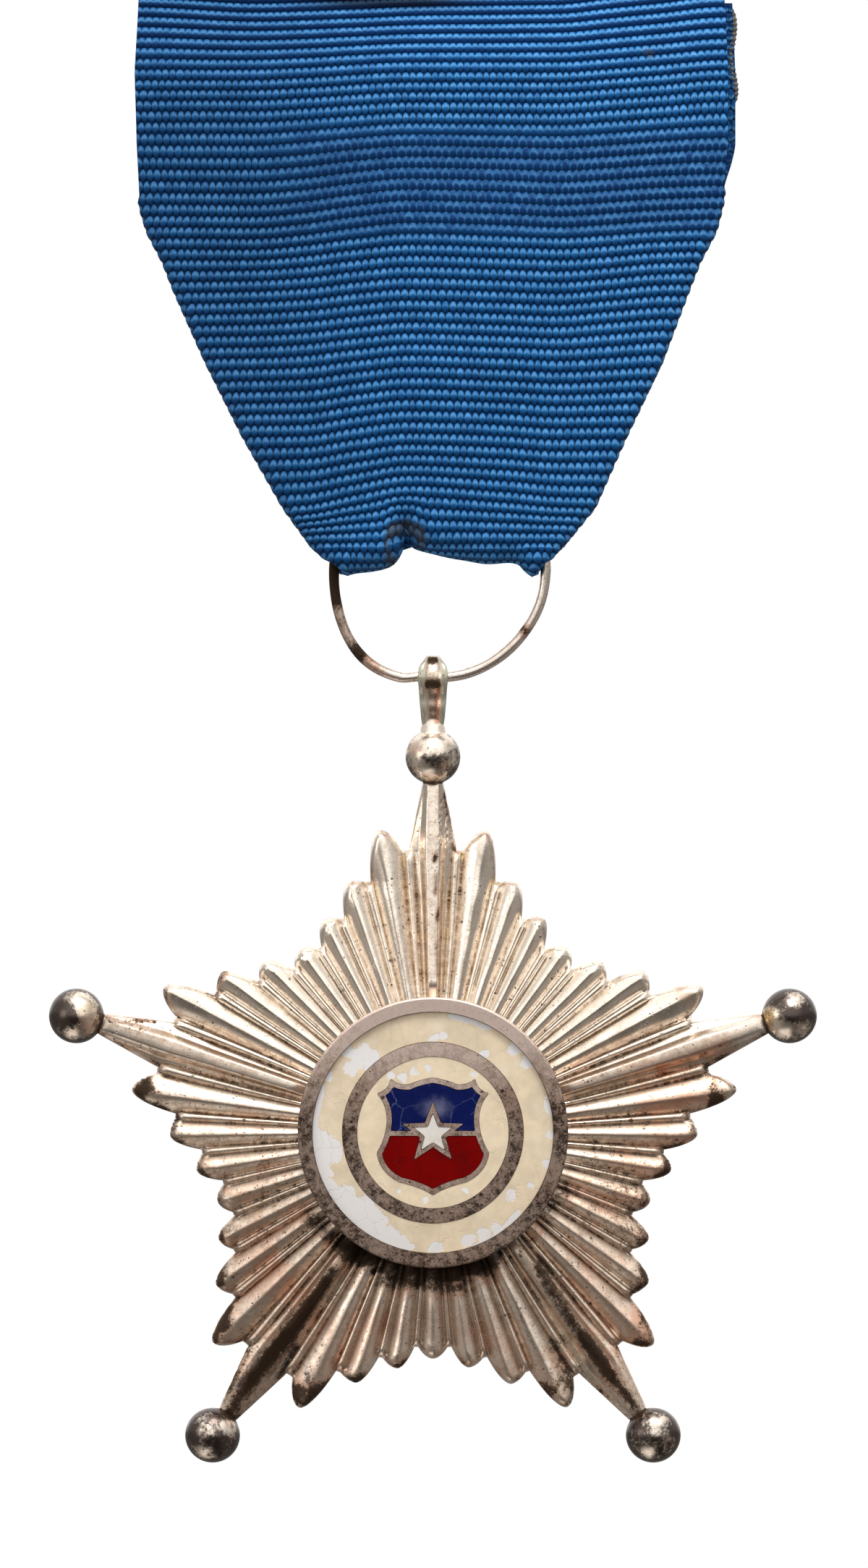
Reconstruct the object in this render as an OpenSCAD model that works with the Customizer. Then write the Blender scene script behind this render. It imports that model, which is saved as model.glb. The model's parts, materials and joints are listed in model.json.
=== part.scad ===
// A five-pointed service star with ball tips and an enamelled medallion,
// hanging by a wire ring from a ribbed ribbon with a pin behind its top edge.
// Millimetres. +Z is up, +X is to the viewer's right and the front faces -Y.
// The origin is the middle of the pin at the back of the ribbon.

/* [Hanging] */
// Distance from the brooch pin down to the middle of the wire ring
ring_drop = 38.9; // [38:0.1:40]
// Distance from the hinge in the bail down to the middle of the star
star_drop = 28.6; // [28:0.1:30]
// Distance of the ring's plane in front of the pin
hang_y = 4; // [4:0.1:5]
// How far the ring has slid to the right of the star's middle line
ring_shift = 0.45; // [0:0.05:0.6]

/* [Ring] */
// Diameter of the ring along the middle of its wire
ring_d = 13.3; // [13:0.1:13.6]
// Thickness of the ring's wire
wire_d = 0.65; // [0.6:0.05:0.7]

/* [Ribbon] */
// Thickness of the ribbon's layers
wall = 1; // [1:0.05:1.1]
// Space left between layers that lie on each other
layer_gap = 0.2; // [0.15:0.05:0.25]
// Space left between the ribbon and the wire inside its fold
wire_gap = 0.22; // [0.2:0.01:0.25]
// Height of the rounded top fold's middle above the pin
top_fold_z = 2; // [1.8:0.1:2.5]
// Depth of the turned-over hem below the top fold's middle
hem_h = 3; // [2.5:0.1:4]

/* [Brooch pin] */
// Length of the flat bar behind the ribbon
bar_l = 24; // [20:0.5:28]
// Height of the bar
bar_h = 3; // [2:0.1:3.2]
// Thickness of the bar
bar_t = 0.8; // [0.6:0.1:1]
// Thickness of the pin's wire
pin_d = 0.9; // [0.8:0.05:1]

/* [Star] */
// Distance from the star's middle to the middle of each ball
star_reach = 23.6; // [23.4:0.1:24]
// Diameter of the balls
ball_d = 3.45; // [3.3:0.05:3.6]
// Diameter of the neck under each ball
neck_d = 1.4; // [1.2:0.05:1.6]
// Thickness of the star in the valleys between its rays
valley_h = 1.1; // [1:0.05:1.2]
// Thickness of the star at the keel of a ray beside the medallion
keel_h = 2; // [1.9:0.05:2.1]
// Thickness of the star at the ridge of a thin bead
bead_h = 1.5; // [1.4:0.05:1.6]
// Height of the hanging plane above the star's flat back
balance_h = 1.12; // [1.05:0.01:1.3]

/* [Bail] */
// Width of the eye that holds the ring
eye_w = 1.95; // [1.8:0.05:2.1]
// Diameter of the eye's outside
eye_d = 2.8; // [2.7:0.05:2.9]
// Diameter of the hole that the ring's wire turns in
eye_bore = 1.05; // [1:0.01:1.1]
// Width of the shank just under the eye
shank_top_w = 1.8; // [1.6:0.05:1.9]
// Width of the shank at the collar
shank_foot_w = 1.5; // [1.4:0.05:1.6]
// Depth of the shank from front to back
shank_d = 1.7; // [1.5:0.05:1.8]

/* [Medallion] */
// Diameter of the medallion over its rim
medal_d = 17; // [16.8:0.1:17.2]
// Thickness of the medallion's plate up to the top of the inner walls
plate_h = 1.45; // [1.3:0.05:1.6]
// Height of the outer rim above the inner walls
rim_rise = 0.25; // [0.2:0.05:0.3]
// Width of the outer rim
rim_w = 0.9; // [0.85:0.01:0.95]
// Diameter of the inner metal ring's outside
inner_ring_d = 11.36; // [11.2:0.02:11.5]
// Width of the inner metal ring
inner_ring_w = 0.9; // [0.85:0.01:0.95]
// Depth of the hollows that hold the enamel
cell_depth = 0.5; // [0.4:0.05:0.6]
// Width of the shield's metal outline and of the bar across it
line_w = 0.3; // [0.25:0.01:0.32]
// Distance from the middle to the tips of the star's metal outline
charge_r = 2; // [1.9:0.05:2.05]
// Distance from the middle to the tips of the white star
charge_inner_r = 1.32; // [1.25:0.01:1.4]

/* [Hidden] */
$fn = 96;
piece_gap = 0.02;
sector = 72;

// Levels of the hinge in the bail and of the star's middle
hinge_z = -ring_drop - sqrt(pow(ring_d / 2, 2) - pow(ring_shift, 2));
star_z = hinge_z - star_drop;

// Ribbon: each row is [height, reach to the left, reach to the right, bulge to the front]
RIBBON_ROWS = [
    [2, 18.5, 18.2, 0],
    [-3, 18.5, 18.3, 0.7],
    [-7.5, 18.7, 18.5, 1.8],
    [-12, 18.6, 18.5, 2.1],
    [-15.7, 18.4, 18.1, 1.85],
    [-17.5, 17.8, 17.6, 1.75],
    [-19.4, 16.8, 16.6, 1.7],
    [-21.2, 16.1, 15.9, 1.65],
    [-25.7, 14.1, 14.2, 1.4],
    [-30.3, 11.8, 12, 0.9],
    [-34.8, 9.4, 9.8, 0.3],
    [-37, 8.1, 8.4, 0],
];
ribbon_columns = 18;
// Share of the front's bulge that is gone at the ribbon's edges
edge_flatness = 0.35;
fold_steps = 6;
// The front layer and the folded end leave room for the wire between them
fold_r = (wire_d + wall) / 2 + wire_gap;
fold_z = -ring_drop + fold_r + wall / 2;
front_y = -fold_r;
back_y = front_y + wall + layer_gap;
hem_y = back_y + wall + layer_gap;
top_fold_r = (hem_y - front_y) / 2;
// The end's reach on each side of the ring's middle, inside the wire
fold_reach = sqrt(pow((ring_d - wire_d) / 2, 2) - pow(fold_r + wall / 2, 2)) - 0.25;
// The layers part over this stretch to go round the ring's upper half
part_z_low = -31.5;
part_z_high = -26;
// The back layer lies this far to the right of the front one above peek_z
back_peek = 0.55;
peek_z = -16;
peek_fade = 4;
// A pleat lifts the lower edge beside the middle
pleat_x = -1.9;
pleat_lift = 1.8;
pleat_run_left = 0.9;
pleat_run_right = 8;
pleat_start_z = -31;

// Star: each value runs from a main ray towards the middle of the gap between two main rays
RAY_ANGLES = [0, 10.2, 18.7, 27.2, 36];
RAY_ENDS = [21.5, 19.3, 16.7, 15.1, 14.4];
BEAD_ANGLES = [5.7, 14.5, 23, 31.6];
BEAD_ENDS = [17.8, 16.2, 14.5, 13.65];
ray_half_angle = 3;
main_half_angle_in = 3.8;
main_half_angle_mid = 4.4;
main_half_angle_out = 1.9;
root_r = 7.9;
tip_run = 2.6;
edge_run = 0.4;
tip_drop = 0.45;
boss_h = keel_h - 0.1;
medal_back_h = keel_h + 0.05;
groove_w = 0.64;
groove_depth = 0.25;
collar_d = 1.55;

function clamp01(t) = min(1, max(0, t));
function ease(t) = clamp01(t) * clamp01(t) * (3 - 2 * clamp01(t));
function mix(a, b, t) = a + (b - a) * t;

// Layer positions of the ribbon, as [y, z, turn, left, right, bulge].
// The turn is the direction in which the layer's outer face looks, in degrees up from the back.
function back_layer_y(z) = mix(fold_r, back_y, ease((z - part_z_low) / (part_z_high - part_z_low)));

function hem_stations() = [
    for (k = [0:2])
        [hem_y, top_fold_z - hem_h * (1 - k / 3), 0, RIBBON_ROWS[0][1], RIBBON_ROWS[0][2], 0]
];

function top_fold_stations() = [
    for (k = [0:fold_steps - 1])
        let (a = 180 * k / fold_steps)
        [
            hem_y - top_fold_r + top_fold_r * cos(a), top_fold_z + top_fold_r * sin(a),
            a, RIBBON_ROWS[0][1], RIBBON_ROWS[0][2], 0
        ]
];

function front_stations() = [
    for (row = RIBBON_ROWS)
        [front_y, row[0], 180, row[1], row[2], row[3]]
];

function bottom_fold_stations() = [
    for (k = [1:fold_steps])
        let (
            a = 180 * k / fold_steps,
            tuck = ease(k / (fold_steps * 0.3)),
            last_row = RIBBON_ROWS[len(RIBBON_ROWS) - 1],
            left = mix(last_row[1], fold_reach - ring_shift, tuck),
            right = mix(last_row[2], fold_reach + ring_shift, tuck)
        )
        [-fold_r * cos(a), fold_z - fold_r * sin(a), 180 + a, left, right, 0]
];

function back_stations() = [
    for (k = [len(RIBBON_ROWS) - 1:-1:1])
        let (row = RIBBON_ROWS[k], peek = back_peek * ease((row[0] - peek_z) / peek_fade))
        [back_layer_y(row[0]), row[0], 360, row[1] - peek, row[2] + peek, 0]
];

function ribbon_path() = concat(
    hem_stations(), top_fold_stations(), front_stations(),
    bottom_fold_stations(), back_stations()
);

function pleat(x) = x < pleat_x
    ? pleat_lift * clamp01(1 - (pleat_x - x) / pleat_run_left)
    : pleat_lift * pow(clamp01(1 - (x - pleat_x) / pleat_run_right), 1.3);

function pleat_share(z) = ease((pleat_start_z - z) / (pleat_start_z - fold_z));

// One face of the ribbon: side is 1 for the outer face and -1 for the inner one
function ribbon_point(station, column, side) =
    let (
        u = column / ribbon_columns,
        x = mix(-station[3], station[4], u),
        crown = 1 - edge_flatness * pow(2 * u - 1, 2),
        y = station[0] + side * wall / 2 * cos(station[2]) - station[5] * crown,
        z = station[1] + side * wall / 2 * sin(station[2])
    )
    [x, y, z + pleat(x) * pleat_share(station[1])];

// A closed sheet between two grids of points that share their border order
module sheet(outer, inner) {
    rows = len(outer);
    cols = len(outer[0]);
    inner_start = rows * cols;
    points = concat([for (row = outer) each row], [for (row = inner) each row]);
    faces = concat(
        [
            for (i = [0:rows - 2], j = [0:cols - 2])
                let (a = i * cols + j, b = a + 1, c = a + cols, d = c + 1)
                each [
                    [a, c, b], [b, c, d],
                    [inner_start + a, inner_start + b, inner_start + c],
                    [inner_start + b, inner_start + d, inner_start + c],
                ]
        ],
        [
            for (i = [0:rows - 2], j = [0, cols - 1])
                let (
                    a = i * cols + j, c = a + cols,
                    loop = [a, inner_start + a, inner_start + c, c]
                )
                each split_quad(j == 0 ? loop : flip(loop))
        ],
        [
            for (i = [0, rows - 1], j = [0:cols - 2])
                let (
                    a = i * cols + j, b = a + 1,
                    loop = [a, b, inner_start + b, inner_start + a]
                )
                each split_quad(i == 0 ? loop : flip(loop))
        ]
    );
    polyhedron(points = points, faces = faces, convexity = 8);
}

function split_quad(q) = [[q[0], q[1], q[2]], [q[0], q[2], q[3]]];
function flip(list) = [for (i = [len(list) - 1:-1:0]) list[i]];

module ribbon() {
    path = ribbon_path();
    color("steelblue")
    translate([0, -hang_y, 0])
    sheet(
        [for (s = path) [for (j = [0:ribbon_columns]) ribbon_point(s, j, 1)]],
        [for (s = path) [for (j = [0:ribbon_columns]) ribbon_point(s, j, -1)]]
    );
}

// The bar lies against the hem, and the pin's wire runs behind it through the origin
module brooch_pin() {
    bar_y = -hang_y + hem_y + wall / 2 + piece_gap;
    post_x = bar_l / 2 - 1;
    post_d = pin_d + 0.3;
    color("silver") {
        translate([-bar_l / 2, bar_y, -bar_h / 2])
        cube([bar_l, bar_t, bar_h]);
        for (x = [-post_x, post_x])
            translate([x, bar_y + bar_t / 2, 0])
            rotate([-90, 0, 0])
            cylinder(d = post_d, h = -bar_y - bar_t / 2 + pin_d / 2);
        translate([-post_x, 0, 0])
        rotate([0, 90, 0])
        cylinder(d = pin_d, h = 2 * post_x);
    }
}

module ring() {
    color("silver")
    translate([ring_shift, -hang_y, -ring_drop])
    rotate([90, 0, 0])
    rotate_extrude()
    translate([ring_d / 2, 0])
    circle(d = wire_d);
}

// Turns the star's own frame, with its flat back at height 0, to face the front
module star_frame() {
    translate([0, -hang_y + balance_h, star_z])
    rotate([90, 0, 0])
    children();
}

// Each line of the relief is [angle in, angle mid, angle out, r mid, r out, h in, h mid, h out]
function keel_line(k) = [
    RAY_ANGLES[k], RAY_ANGLES[k], RAY_ANGLES[k],
    RAY_ENDS[k] - tip_run, RAY_ENDS[k],
    keel_h, keel_h - tip_drop, valley_h + 0.1
];

function main_edge_line() = [
    main_half_angle_in, main_half_angle_mid, main_half_angle_out,
    BEAD_ENDS[0] + edge_run, RAY_ENDS[0], valley_h, valley_h, valley_h
];

function edge_line(k, side) =
    let (
        a = RAY_ANGLES[k] + side * ray_half_angle,
        r = BEAD_ENDS[side < 0 ? k - 1 : min(k, 3)] - edge_run
    )
    [a, a, a, r - edge_run, r, valley_h, valley_h, valley_h];

function bead_line(k) = [
    BEAD_ANGLES[k], BEAD_ANGLES[k], BEAD_ANGLES[k],
    BEAD_ENDS[k] - edge_run, BEAD_ENDS[k], bead_h, bead_h, valley_h
];

// The lines from a main ray to the middle of the gap
function half_sector() = [
    for (k = [0:4])
        each concat(
            k == 0 ? [] : [edge_line(k, -1)],
            [keel_line(k)],
            k == 4 ? [] : [k == 0 ? main_edge_line() : edge_line(k, 1), bead_line(k)]
        )
];

function turned(line, start, sign) = [
    start + sign * line[0], start + sign * line[1], start + sign * line[2],
    line[3], line[4], line[5], line[6], line[7]
];

function star_lines() =
    let (half = half_sector(), last = len(half) - 1)
    [
        for (s = [0:4])
            each concat(
                [for (i = [0:last]) turned(half[i], s * sector, 1)],
                [for (i = [last - 1:-1:1]) turned(half[i], (s + 1) * sector, -1)]
            )
    ];

function at(angle, r, h) = [r * sin(angle), r * cos(angle), h];

// The ray field: a flat back and a pleated front that rises to a keel on each ray
module ray_field() {
    lines = star_lines();
    count = len(lines);
    points = concat(
        [
            for (l = lines)
                each [
                    at(l[0], root_r, l[5]), at(l[1], l[3], l[6]), at(l[2], l[4], l[7]),
                    at(l[2], l[4], 0), at(l[1], l[3], 0), at(l[0], root_r, 0),
                ]
        ],
        [[0, 0, boss_h], [0, 0, 0]]
    );
    front_hub = 6 * count;
    back_hub = front_hub + 1;
    faces = [
        for (i = [0:count - 1])
            let (a = 6 * i, b = 6 * ((i + 1) % count))
            each concat(
                [[front_hub, a, b]],
                [for (k = [0:4]) each split_quad([a + k, a + k + 1, b + k + 1, b + k])],
                [[back_hub, b + 5, a + 5]]
            )
    ];
    polyhedron(points = points, faces = faces, convexity = 10);
}

module ball_and_neck() {
    neck_start = RAY_ENDS[0] - 1.5;
    translate([0, star_reach, balance_h])
    sphere(d = ball_d);
    translate([0, neck_start, balance_h])
    rotate([-90, 0, 0])
    cylinder(d = neck_d, h = star_reach - neck_start);
}

module shank() {
    collar_y = star_reach + ball_d / 2 - 0.35;
    collar_top = collar_y + 0.75;
    difference() {
        translate([0, 0, balance_h - shank_d / 2])
        linear_extrude(height = shank_d)
        polygon([
            [-shank_foot_w / 2, collar_y + 0.3], [shank_foot_w / 2, collar_y + 0.3],
            [shank_top_w / 2, star_drop], [-shank_top_w / 2, star_drop]
        ]);
        translate([-groove_w / 2, collar_top, balance_h + shank_d / 2 - groove_depth])
        cube([groove_w, star_drop, 1]);
    }
    translate([0, collar_y, balance_h])
    rotate([-90, 0, 0])
    cylinder(d = collar_d, h = collar_top - collar_y);
}

module bail() {
    difference() {
        union() {
            shank();
            translate([-eye_w / 2, star_drop, balance_h])
            rotate([0, 90, 0])
            cylinder(d = eye_d, h = eye_w);
        }
        translate([-eye_w, star_drop, balance_h])
        rotate([0, 90, 0])
        cylinder(d = eye_bore, h = 2 * eye_w);
    }
}

module star() {
    color("silver")
    star_frame() {
        ray_field();
        for (s = [0:4])
            rotate([0, 0, -s * sector])
            ball_and_neck();
        bail();
    }
}

// Points of a curve from a to c that leans towards b, without its last point
function curve(a, b, c, steps) = [
    for (k = [0:steps - 1])
        let (t = k / steps)
        a * pow(1 - t, 2) + b * 2 * t * (1 - t) + c * pow(t, 2)
];

// Right half of the shield's outline, from the top middle to the bottom tip
function shield_half() = concat(
    curve([0, 3.44], [0.9, 3.3], [1.53, 3], 4),
    curve([1.53, 3], [2.2, 2.95], [2.65, 3.36], 4),
    curve([2.65, 3.36], [2.7, 2.7], [3.49, 2.45], 5),
    curve([3.49, 2.45], [2.85, 1.75], [2.88, 0.7], 6),
    curve([2.88, 0.7], [2.95, -0.4], [3.52, -1.28], 6),
    curve([3.52, -1.28], [3.35, -2.5], [2.1, -3.1], 6),
    curve([2.1, -3.1], [0.6, -3.45], [0, -3.93], 6)
);

module shield_outline() {
    half = shield_half();
    polygon(concat(
        half,
        [[0, -3.93]],
        [for (k = [len(half) - 1:-1:1]) [-half[k][0], half[k][1]]]
    ));
}

bar_top = 0.1;
bar_bottom = bar_top - line_w;
charge_y = -0.07;
charge_notch = 0.42;

module star_outline(r, notch) {
    translate([0, charge_y])
    polygon([
        for (k = [0:9])
            let (a = 36 * k, rr = k % 2 == 0 ? r : r * notch)
            [rr * sin(a), rr * cos(a)]
    ]);
}

module half_plane(above) {
    translate([-5, above ? bar_top : bar_bottom - 5])
    square([10, 5]);
}

module shield_inside() {
    offset(delta = -line_w)
    shield_outline();
}

module chief_shape() {
    difference() {
        intersection() {
            shield_inside();
            half_plane(true);
        }
        star_outline(charge_r, charge_notch);
    }
}

module base_shape() {
    difference() {
        intersection() {
            shield_inside();
            half_plane(false);
        }
        star_outline(charge_r, charge_notch);
    }
}

module border_shape() {
    difference() {
        circle(d = medal_d - 2 * rim_w);
        circle(d = inner_ring_d);
    }
}

module field_shape() {
    difference() {
        circle(d = inner_ring_d - 2 * inner_ring_w);
        shield_outline();
    }
}

module medallion() {
    cell_floor = medal_back_h + plate_h - cell_depth;
    color("rosybrown")
    star_frame()
    difference() {
        translate([0, 0, medal_back_h])
        cylinder(d = medal_d, h = plate_h + rim_rise);
        translate([0, 0, medal_back_h + plate_h])
        cylinder(d = medal_d - 2 * rim_w, h = 1);
        translate([0, 0, cell_floor])
        linear_extrude(height = 1)
        {
            border_shape();
            field_shape();
            chief_shape();
            base_shape();
            star_outline(charge_inner_r, charge_notch);
        }
    }
}

// Enamel fills its hollow to just under the top of the walls
module enamel() {
    floor_h = medal_back_h + plate_h - cell_depth + piece_gap;
    star_frame()
    translate([0, 0, floor_h])
    linear_extrude(height = cell_depth - 3 * piece_gap)
    offset(delta = -piece_gap)
    children();
}

module enamel_border() {
    color("cornsilk")
    star_frame()
    translate([0, 0, medal_back_h + plate_h - cell_depth + piece_gap])
    difference() {
        cylinder(d = medal_d - 2 * rim_w - 2 * piece_gap, h = cell_depth - 3 * piece_gap);
        translate([0, 0, -1])
        cylinder(d = inner_ring_d + 2 * piece_gap, h = 3);
    }
}

module enamel_field() {
    color("cornsilk")
    enamel()
    field_shape();
}

module enamel_chief() {
    color("navy")
    enamel()
    chief_shape();
}

module enamel_base() {
    color("firebrick")
    enamel()
    base_shape();
}

module enamel_star() {
    color("white")
    enamel()
    star_outline(charge_inner_r, charge_notch);
}

ribbon();
brooch_pin();
ring();
star();
medallion();
enamel_border();
enamel_field();
enamel_chief();
enamel_base();
enamel_star();
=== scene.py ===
"""Looks of a service star that hangs by a wire ring from a folded, ribbed ribbon.

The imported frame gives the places. This script makes what shows: the ribbed cloth, the worn
ring, the tarnished star with its bail, and the enamelled medallion. Sizes here are in
millimetres, and every mesh is written in metres.
"""

import json
import logging
import math
from dataclasses import dataclass
from enum import Enum
from typing import Any, Callable, Iterator, Sequence

import bmesh
import bpy
import numpy as np
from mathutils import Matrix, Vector
from mathutils.kdtree import KDTree

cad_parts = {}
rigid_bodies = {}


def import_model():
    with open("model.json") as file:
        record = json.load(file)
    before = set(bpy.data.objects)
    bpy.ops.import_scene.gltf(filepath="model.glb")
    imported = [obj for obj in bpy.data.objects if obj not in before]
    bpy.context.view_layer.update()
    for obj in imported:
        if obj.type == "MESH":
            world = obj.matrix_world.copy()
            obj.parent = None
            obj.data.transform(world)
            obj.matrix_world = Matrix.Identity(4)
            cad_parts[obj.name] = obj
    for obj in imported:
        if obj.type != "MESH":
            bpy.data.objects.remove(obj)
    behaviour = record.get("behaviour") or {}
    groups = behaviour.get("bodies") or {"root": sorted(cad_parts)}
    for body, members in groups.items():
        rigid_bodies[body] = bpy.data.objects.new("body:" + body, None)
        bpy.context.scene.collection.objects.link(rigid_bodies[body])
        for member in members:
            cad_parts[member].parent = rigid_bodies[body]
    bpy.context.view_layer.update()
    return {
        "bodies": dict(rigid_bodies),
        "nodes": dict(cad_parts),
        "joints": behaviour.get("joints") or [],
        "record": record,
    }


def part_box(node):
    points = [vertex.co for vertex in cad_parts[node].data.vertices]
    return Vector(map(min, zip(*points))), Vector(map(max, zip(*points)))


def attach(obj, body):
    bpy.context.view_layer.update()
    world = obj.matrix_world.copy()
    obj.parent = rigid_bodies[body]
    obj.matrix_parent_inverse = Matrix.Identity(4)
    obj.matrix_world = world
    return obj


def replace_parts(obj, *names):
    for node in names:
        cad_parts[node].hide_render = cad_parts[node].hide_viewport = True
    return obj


LOG = logging.getLogger("service_star")
MM = 0.001
TURN = 2.0 * math.pi
Grid = np.ndarray
Color = tuple[float, float, float]
Row = tuple[float, ...]
Socket = bpy.types.NodeSocket
Piece = bpy.types.Object
Material = bpy.types.Material
Edges = list[bmesh.types.BMEdge]


def ease(value: Grid | float, low: float, high: float) -> Grid:
    """Smooth step.

    Args:
        value: Number or array to judge.
        low: Where the step starts. It may be above high.
        high: Where the step ends.

    Returns:
        0 at low, 1 at high, and smooth between them.
    """
    share = np.clip((np.asarray(value, float) - low) / (high - low), 0.0, 1.0)
    return share * share * (3.0 - 2.0 * share)


def mix(start: Grid | float, end: Grid | float, share: Grid | float) -> Grid:
    """Returns the value that lies that share of the way from start to end."""
    return start + (end - start) * share


def bell(away: Grid | float, width: float, power: int = 2) -> Grid:
    """Returns 1 where away is 0, falling to 0.37 at the width. A higher power is flatter."""
    return np.exp(-((away / width) ** power))


def soft_min(first: Grid, second: Grid, blend: float) -> Grid:
    """The lower of two heights, with the crease between them rounded.

    Args:
        first: First height.
        second: Second height.
        blend: Height difference over which they merge.

    Returns:
        The rounded minimum.
    """
    share = np.clip(0.5 + 0.5 * (second - first) / blend, 0.0, 1.0)
    return mix(second, first, share) - blend * share * (1.0 - share)


def smooth_table(table: Sequence[Row], place: Grid) -> Grid:
    """Reads a table of places and values with a curve that has no kinks and no overshoot.

    Args:
        table: Rows of place and value, with rising places.
        place: Where to read it.

    Returns:
        The values.
    """
    stops, values = (np.array(column, float) for column in zip(*table))
    slopes = np.diff(values) / np.diff(stops)
    before, after = slopes[:-1], slopes[1:]
    bends = np.zeros(len(stops))
    sums = np.where(before + after == 0, 1, before + after)
    bends[1:-1] = np.where(before * after > 0, 2 * before * after / sums, 0.0)
    place = np.clip(place, stops[0], stops[-1])
    k = np.clip(np.searchsorted(stops, place, side="right") - 1, 0, len(stops) - 2)
    span = stops[k + 1] - stops[k]
    t = (place - stops[k]) / span
    rise = values[k + 1] - values[k]
    first, last = bends[k] * span, bends[k + 1] * span
    return values[k] + t * (first + t * (3 * rise - 2 * first - last + t * (first + last - 2 * rise)))


def ripple(x: Grid, y: Grid, size: float, seed: int) -> Grid:
    """Smooth repeatable unevenness made of a few crossing waves.

    Args:
        x: First coordinate.
        y: Second coordinate.
        size: Rough distance between two bumps.
        seed: Picks the pattern.

    Returns:
        Heights from about -1 to 1.
    """
    rng = np.random.default_rng(seed)
    total = np.zeros(np.broadcast(x, y).shape)
    waves = 7
    for _ in range(waves):
        turn, phase = rng.uniform(0.0, TURN, 2)
        rate = TURN / size * rng.uniform(0.7, 1.5)
        total = total + np.sin(rate * (x * math.cos(turn) + y * math.sin(turn)) + phase)
    return total / math.sqrt(waves)


def circle(count: int) -> Grid:
    """Returns that many angles, evenly spaced round a circle."""
    return np.linspace(0.0, TURN, count, endpoint=False)


@dataclass(frozen=True)
class Places:
    """Places that the pieces share, in millimetres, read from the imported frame."""

    hinge: Vector
    ring_middle: Vector
    ring_radius: float
    wire: float
    star_middle: Vector
    medallion_back: float

    @classmethod
    def from_frame(cls, frame: dict[str, Any]) -> "Places":
        """Reads the places.


        Returns:
            The shared places.
        """
        swing = next(j for j in frame["joints"] if j["name"] == "star_swing")
        ring_low, ring_high = (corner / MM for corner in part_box("ring"))
        disc_low, disc_high = (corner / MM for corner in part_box("medallion"))
        wire = ring_high.y - ring_low.y
        return cls(
            hinge=Vector(swing["pos_m"]) / MM,
            ring_middle=(ring_low + ring_high) / 2,
            ring_radius=(ring_high.x - ring_low.x - wire) / 2,
            wire=wire,
            star_middle=(disc_low + disc_high) / 2,
            medallion_back=disc_high.y,
        )


class Loops(Enum):
    """Which lines of a grid run round in a loop."""

    NONE = 0
    COLUMNS = 1
    BOTH = 2


class Shape:
    """A mesh under construction, joined from several surfaces."""

    def __init__(self, name: str) -> None:
        """Starts an empty mesh.

        Args:
            name: Name of the mesh and of the object made from it.
        """
        self.name = name
        self.points: list[Grid] = []
        self.faces: list[tuple[int, ...]] = []
        self.fields: dict[str, list[Grid]] = {}
        self.count = 0

    def add_points(self, points: Grid, **fields: Grid) -> Grid:
        """Adds points.

        Args:
            points: Array whose last axis holds x, y and z.
            fields: One number per point for each named field.

        Returns:
            The index of each point, in the shape of the array.
        """
        shape = points.shape[:-1]
        flat = points.reshape(-1, 3)
        for name in {**self.fields, **fields}:
            kept = self.fields.setdefault(name, [np.zeros(self.count)])
            kept.append(np.broadcast_to(fields.get(name, 0.0), shape).reshape(-1).astype(float))
        self.points.append(flat)
        first = self.count
        self.count += len(flat)
        return np.arange(first, self.count).reshape(shape)

    def add_grid(self, points: Grid, loops: Loops = Loops.COLUMNS, **fields: Grid) -> Grid:
        """Adds a surface of four-sided faces.

        Args:
            points: Rows by columns by 3.
            loops: Whether the last column joins the first, and the last row the first too.
            fields: One number per point for each named field.

        Returns:
            The indices of the points.
        """
        index = self.add_points(points, **fields)
        looped = np.concatenate([index, index[:1]]) if loops is Loops.BOTH else index
        if loops is not Loops.NONE:
            looped = np.concatenate([looped, looped[:, :1]], axis=1)
        quads = np.stack([looped[:-1, :-1], looped[:-1, 1:], looped[1:, 1:], looped[1:, :-1]], axis=-1)
        self.faces.extend(map(tuple, quads.reshape(-1, 4).tolist()))
        return index

    def close(self, ring: Grid, middle: Sequence[float], **fields: float) -> None:
        """Closes a ring of points with a fan.

        Args:
            ring: Indices round the hole.
            middle: Point at the middle of the fan.
            fields: Value of each field there.
        """
        hub = int(self.add_points(np.array([middle], float), **fields)[0])
        around = ring.tolist()
        self.faces.extend((a, b, hub) for a, b in zip(around, around[1:] + around[:1]))

    def build(self, material: Material, sharp_deg: float = 50.0) -> Piece:
        """Makes the object.

        Args:
            material: Its finish.
            sharp_deg: Edges that bend more than this stay crisp.

        Returns:
            The new object, linked to the scene.
        """
        mesh = bpy.data.meshes.new(self.name)
        mesh.from_pydata((np.concatenate(self.points) * MM).tolist(), [], self.faces)
        for name, parts in self.fields.items():
            write_field(mesh, name, np.concatenate(parts))
        return finish_mesh(self.name, mesh, material, sharp_deg)


def write_field(mesh: bpy.types.Mesh, name: str, values: Grid) -> None:
    """Stores one number for each point of a mesh under this name."""
    mesh.attributes.new(name, "FLOAT", "POINT").data.foreach_set("value", values.astype(np.float32))


def finish_mesh(name: str, mesh: bpy.types.Mesh, material: Material, sharp_deg: float) -> Piece:
    """Turns a mesh outwards, shades it and puts it in the scene.

    Args:
        name: Name of the object.
        mesh: Its mesh, in metres.
        material: Its finish.
        sharp_deg: Edges that bend more than this stay crisp.

    Returns:
        The new object.
    """
    work = bmesh.new()
    work.from_mesh(mesh)
    bmesh.ops.remove_doubles(work, verts=work.verts, dist=1e-8)
    bmesh.ops.dissolve_degenerate(work, dist=1e-8, edges=work.edges)
    bmesh.ops.recalc_face_normals(work, faces=work.faces)
    work.to_mesh(mesh)
    work.free()
    mesh.shade_smooth()
    mesh.set_sharp_from_angle(angle=math.radians(sharp_deg))
    mesh.materials.clear()
    mesh.materials.append(material)
    made = bpy.data.objects.new(name, mesh)
    bpy.context.scene.collection.objects.link(made)
    return made


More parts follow.
